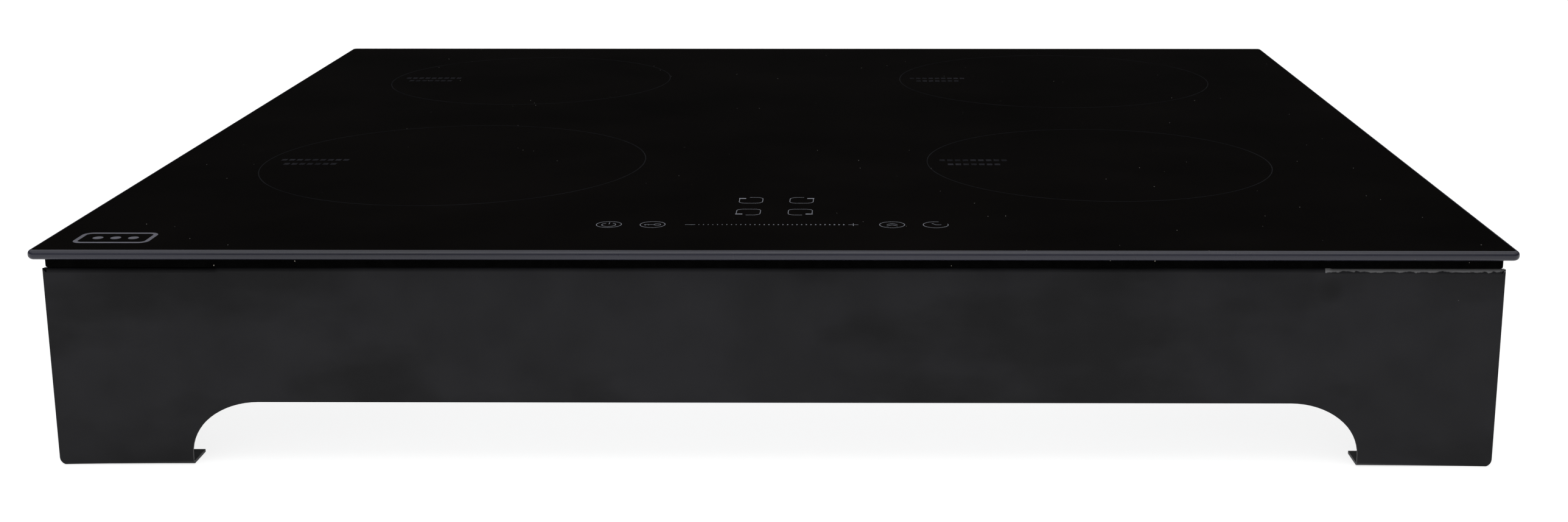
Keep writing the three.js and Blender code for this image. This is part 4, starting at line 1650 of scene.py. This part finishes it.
@dataclass
class Electronics:
    """Boards and what stands on them, with the touch controls."""

    choke_turns: int = 34
    choke_wire: float = 0.5 * MM
    choke_wrap: float = 1.1 * MM
    relays: int = 3
    relay: Point = (19 * MM, 16 * MM, 15 * MM)
    relay_start: tuple[float, float] = (20 * MM, 12 * MM)
    relay_pitch: float = 24 * MM
    chips: int = 12
    chip: Point = (4 * MM, 4 * MM, 1.6 * MM)
    chip_start: tuple[float, float] = (16 * MM, 42 * MM)
    chip_pitch: float = 8 * MM
    cans: int = 4
    can: tuple[float, float] = (6 * MM, 20 * MM)
    can_start: tuple[float, float] = (18 * MM, 20 * MM)
    can_pitch: float = 15 * MM

    def build(self) -> None:
        """Builds the boards, trays, sinks, capacitors and controls."""
        for side in ("left", "right"):
            soften_node(f"coil_tray_{side}", Paint.ALUMINIUM, 0.2 * MM)
            soften_node(f"power_board_{side}", Paint.BOARD, 0.1 * MM)
            soften_node(f"heat_sink_{side}", Paint.ALUMINIUM, 0.2 * MM)
            soften_node(f"capacitor_bank_{side}", Paint.CASE, 0.7 * MM)
            Blower(side).build()
            self.board_parts(side)
        soften_node("filter_board", Paint.BOARD, 0.1 * MM)
        soften_node("terminal_block", Paint.WHITE, 0.3 * MM)
        soften_node("touch_board_carrier", Paint.BLACK, 0.3 * MM)
        soften_node("touch_board", Paint.BOARD, 0.1 * MM)
        soften_node("touch_contact_strip", Paint.FOAM_DARKENED_AS_SHADE, 0.3 * MM)
        soften_node("led_display", Paint.LENS, 0.3 * MM)
        self.choke()

    def choke(self) -> None:
        """Wire wound round a ring core."""
        centre, size = span_of("filter_choke")
        core, mean = size.z / 2 - self.choke_wrap, (size.x - size.z) / 2
        bm = bmesh.new()
        for i in range(self.choke_turns):
            add_hoop(bm, (0, 0, 0), core + self.choke_wrap / 2, self.choke_wire, 6, 16)
            fresh = [v for v in bm.verts if not v.tag]
            turn = Matrix.Rotation(i * TAU / self.choke_turns, 4, "Z") @ Matrix.Translation((mean, 0, 0))
            moved(bm, fresh, Matrix.Translation(centre) @ turn @ UPRIGHT_SECTION)
            for vert in fresh:
                vert.tag = True
        ring = bmesh.new()
        add_hoop(ring, centre, mean, core, 16, 40)
        outward(bm)
        turns, node = "filter_choke_turns", "filter_choke"
        place_piece(turns, bm, Paint.COPPER, stands_for=[node], sharp=80)
        outward(ring)
        place_piece("filter_choke_core", ring, Paint.FERRITE, sharp=80)

    def board_parts(self, side: str) -> None:
        """Relays, electrolytic capacitors and a row of small parts on a power board.

        Args:
            side: left or right.
        """
        low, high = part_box(f"power_board_{side}")
        cases, cans = bmesh.new(), bmesh.new()
        for count, size, start, pitch, soft in (
            (self.relays, self.relay, self.relay_start, self.relay_pitch, 0.6 * MM),
            (self.chips, self.chip, self.chip_start, self.chip_pitch, 0.2 * MM),
        ):
            for i in range(count):
                corner = Vector((low.x + start[0] + i * pitch, low.y + start[1], high.z))
                add_box(cases, corner, corner + Vector(size), soft)
        for i in range(self.cans):
            foot = (high.x - self.can_start[0] - i * self.can_pitch, low.y + self.can_start[1], high.z)
            add_post(cans, foot, *self.can, 28)
        for bm, name, paint, slot in (
            (cases, "relays", Paint.BLACK, "black_plastic"),
            (cans, "cans", Paint.ALUMINIUM, "aluminium"),
        ):
            outward(bm)
            place_piece(f"board_{name}_{side}", bm, paint, wall=Wall(soft=0.3 * MM))


# ---------------------------------------------------------------- studio


@dataclass
class Studio:
    """Floor, light and camera."""

    eye: Point = (0.0343, -1.0145, 0.2892)
    yaw: float = math.radians(-0.344)
    pitch: float = math.radians(12.766)
    roll: float = math.radians(-0.033)
    focal: float = 3253.0
    image_width: float = 2576.0
    image_height: float = 857.0
    axis: tuple[float, float] = (1392.0, 303.5)
    sensor: float = 36.0
    floor_size: float = 60.0
    floor_gap: float = 0.2 * MM
    sky_heights: tuple[float, float] = (0.28, 0.75)
    sky_light: tuple[float, float] = (0.006, 0.9)

    def build(self) -> None:
        """Sets the stage."""
        self.camera()
        self.floor()
        self.sky()
        self.lamps()
        bpy.context.scene.view_settings.view_transform = "Standard"

    def camera(self) -> None:
        """The camera, by its place, its direction and its lens."""
        data = bpy.data.cameras.new("camera")
        data.sensor_width = self.sensor
        data.lens = self.sensor * self.focal / self.image_width
        data.shift_x = (self.image_width / 2 - self.axis[0]) / self.image_width
        data.shift_y = (self.axis[1] - self.image_height / 2) / self.image_width
        obj = bpy.data.objects.new("camera", data)
        ahead = Vector((
            math.sin(self.yaw) * math.cos(self.pitch),
            math.cos(self.yaw) * math.cos(self.pitch),
            -math.sin(self.pitch),
        ))
        right = Vector((math.cos(self.yaw), -math.sin(self.yaw), 0))
        up = right.cross(ahead)
        across = math.cos(self.roll) * right + math.sin(self.roll) * up
        upward = -math.sin(self.roll) * right + math.cos(self.roll) * up
        turn = Matrix((across, upward, -ahead)).transposed()
        obj.matrix_world = Matrix.Translation(self.eye) @ turn.to_4x4()
        bpy.context.scene.collection.objects.link(obj)
        bpy.context.scene.camera = obj

    def floor(self) -> None:
        """A pale floor, just under the feet."""
        bm = bmesh.new()
        bmesh.ops.create_grid(bm, x_segments=1, y_segments=1, size=self.floor_size / 2)
        bmesh.ops.translate(bm, vec=(0, 0, -self.floor_gap), verts=bm.verts[:])
        pale = LitFloor(
            "pale_floor", (0.36, 0.36, 0.36), 0.7, tone=0.004, tone_size=0.5, grain=0.0, specular=0.2
        )
        as_object("floor", bm, [pale])

    def sky(self) -> None:
        """Light from overhead, with a dark horizon for the glass to mirror, and seen itself as white."""
        world = bpy.data.worlds.new("studio")
        bpy.context.scene.world = world
        world.use_nodes = True
        nodes, links = world.node_tree.nodes, world.node_tree.links
        back = nodes["Background"]
        back.inputs["Color"].default_value = (1.0, 1.0, 1.0, 1.0)
        place = nodes.new("ShaderNodeTexCoord")
        parts = nodes.new("ShaderNodeSeparateXYZ")
        ramp = nodes.new("ShaderNodeMapRange")
        ramp.interpolation_type = "SMOOTHSTEP"
        seen = nodes.new("ShaderNodeLightPath")
        mix = nodes.new("ShaderNodeMix")
        links.new(place.outputs["Generated"], parts.inputs[0])
        links.new(parts.outputs["Z"], ramp.inputs["Value"])
        limits = ("From Min", "From Max", "To Min", "To Max")
        for key, value in zip(limits, (*self.sky_heights, *self.sky_light)):
            ramp.inputs[key].default_value = value
        share, lit, shown = (mix.inputs[i] for i in (0, 2, 3))
        links.new(seen.outputs["Is Camera Ray"], share)
        links.new(ramp.outputs["Result"], lit)
        shown.default_value = 1.0
        links.new(mix.outputs[0], back.inputs["Strength"])

    def lamps(self) -> None:
        """A broad lamp overhead and a softer one before the front edge."""
        self.lamp("overhead", (0.0, -1.2, 2.6), (0, 0, 0), 2.4, 1.2, 14)
        self.lamp("front", (-0.3, -2.6, 1.6), (0, -0.2, 0.05), 2.6, 0.9, 5)

    @staticmethod
    def lamp(name: str, place: Point, aim: Point, width: float, height: float, power: float) -> None:
        """Adds one area lamp.

        Args:
            name: its name.
            place: where it is.
            aim: what it points at.
            width: its width.
            height: its height.
            power: its power in watts.
        """
        data = bpy.data.lights.new(name, "AREA")
        data.shape = "RECTANGLE"
        data.size, data.size_y, data.energy = width, height, power
        obj = bpy.data.objects.new(name, data)
        direction = Vector(aim) - Vector(place)
        obj.rotation_euler = direction.to_track_quat("-Z", "Y").to_euler()
        obj.location = place
        bpy.context.scene.collection.objects.link(obj)


# ---------------------------------------------------------------- the whole


def main() -> None:
    """Builds the stage, then each sub-assembly of the hob."""
    logging.basicConfig(level=logging.INFO, format="%(name)s %(message)s")
    Studio().build()
    GlassTop().build()
    GlassPrint().build()
    Stand().build()
    Underbody().build()
    for zone in Zone:
        Coil(zone).build()
    Electronics().build()


if __name__ == "__main__":
    main()
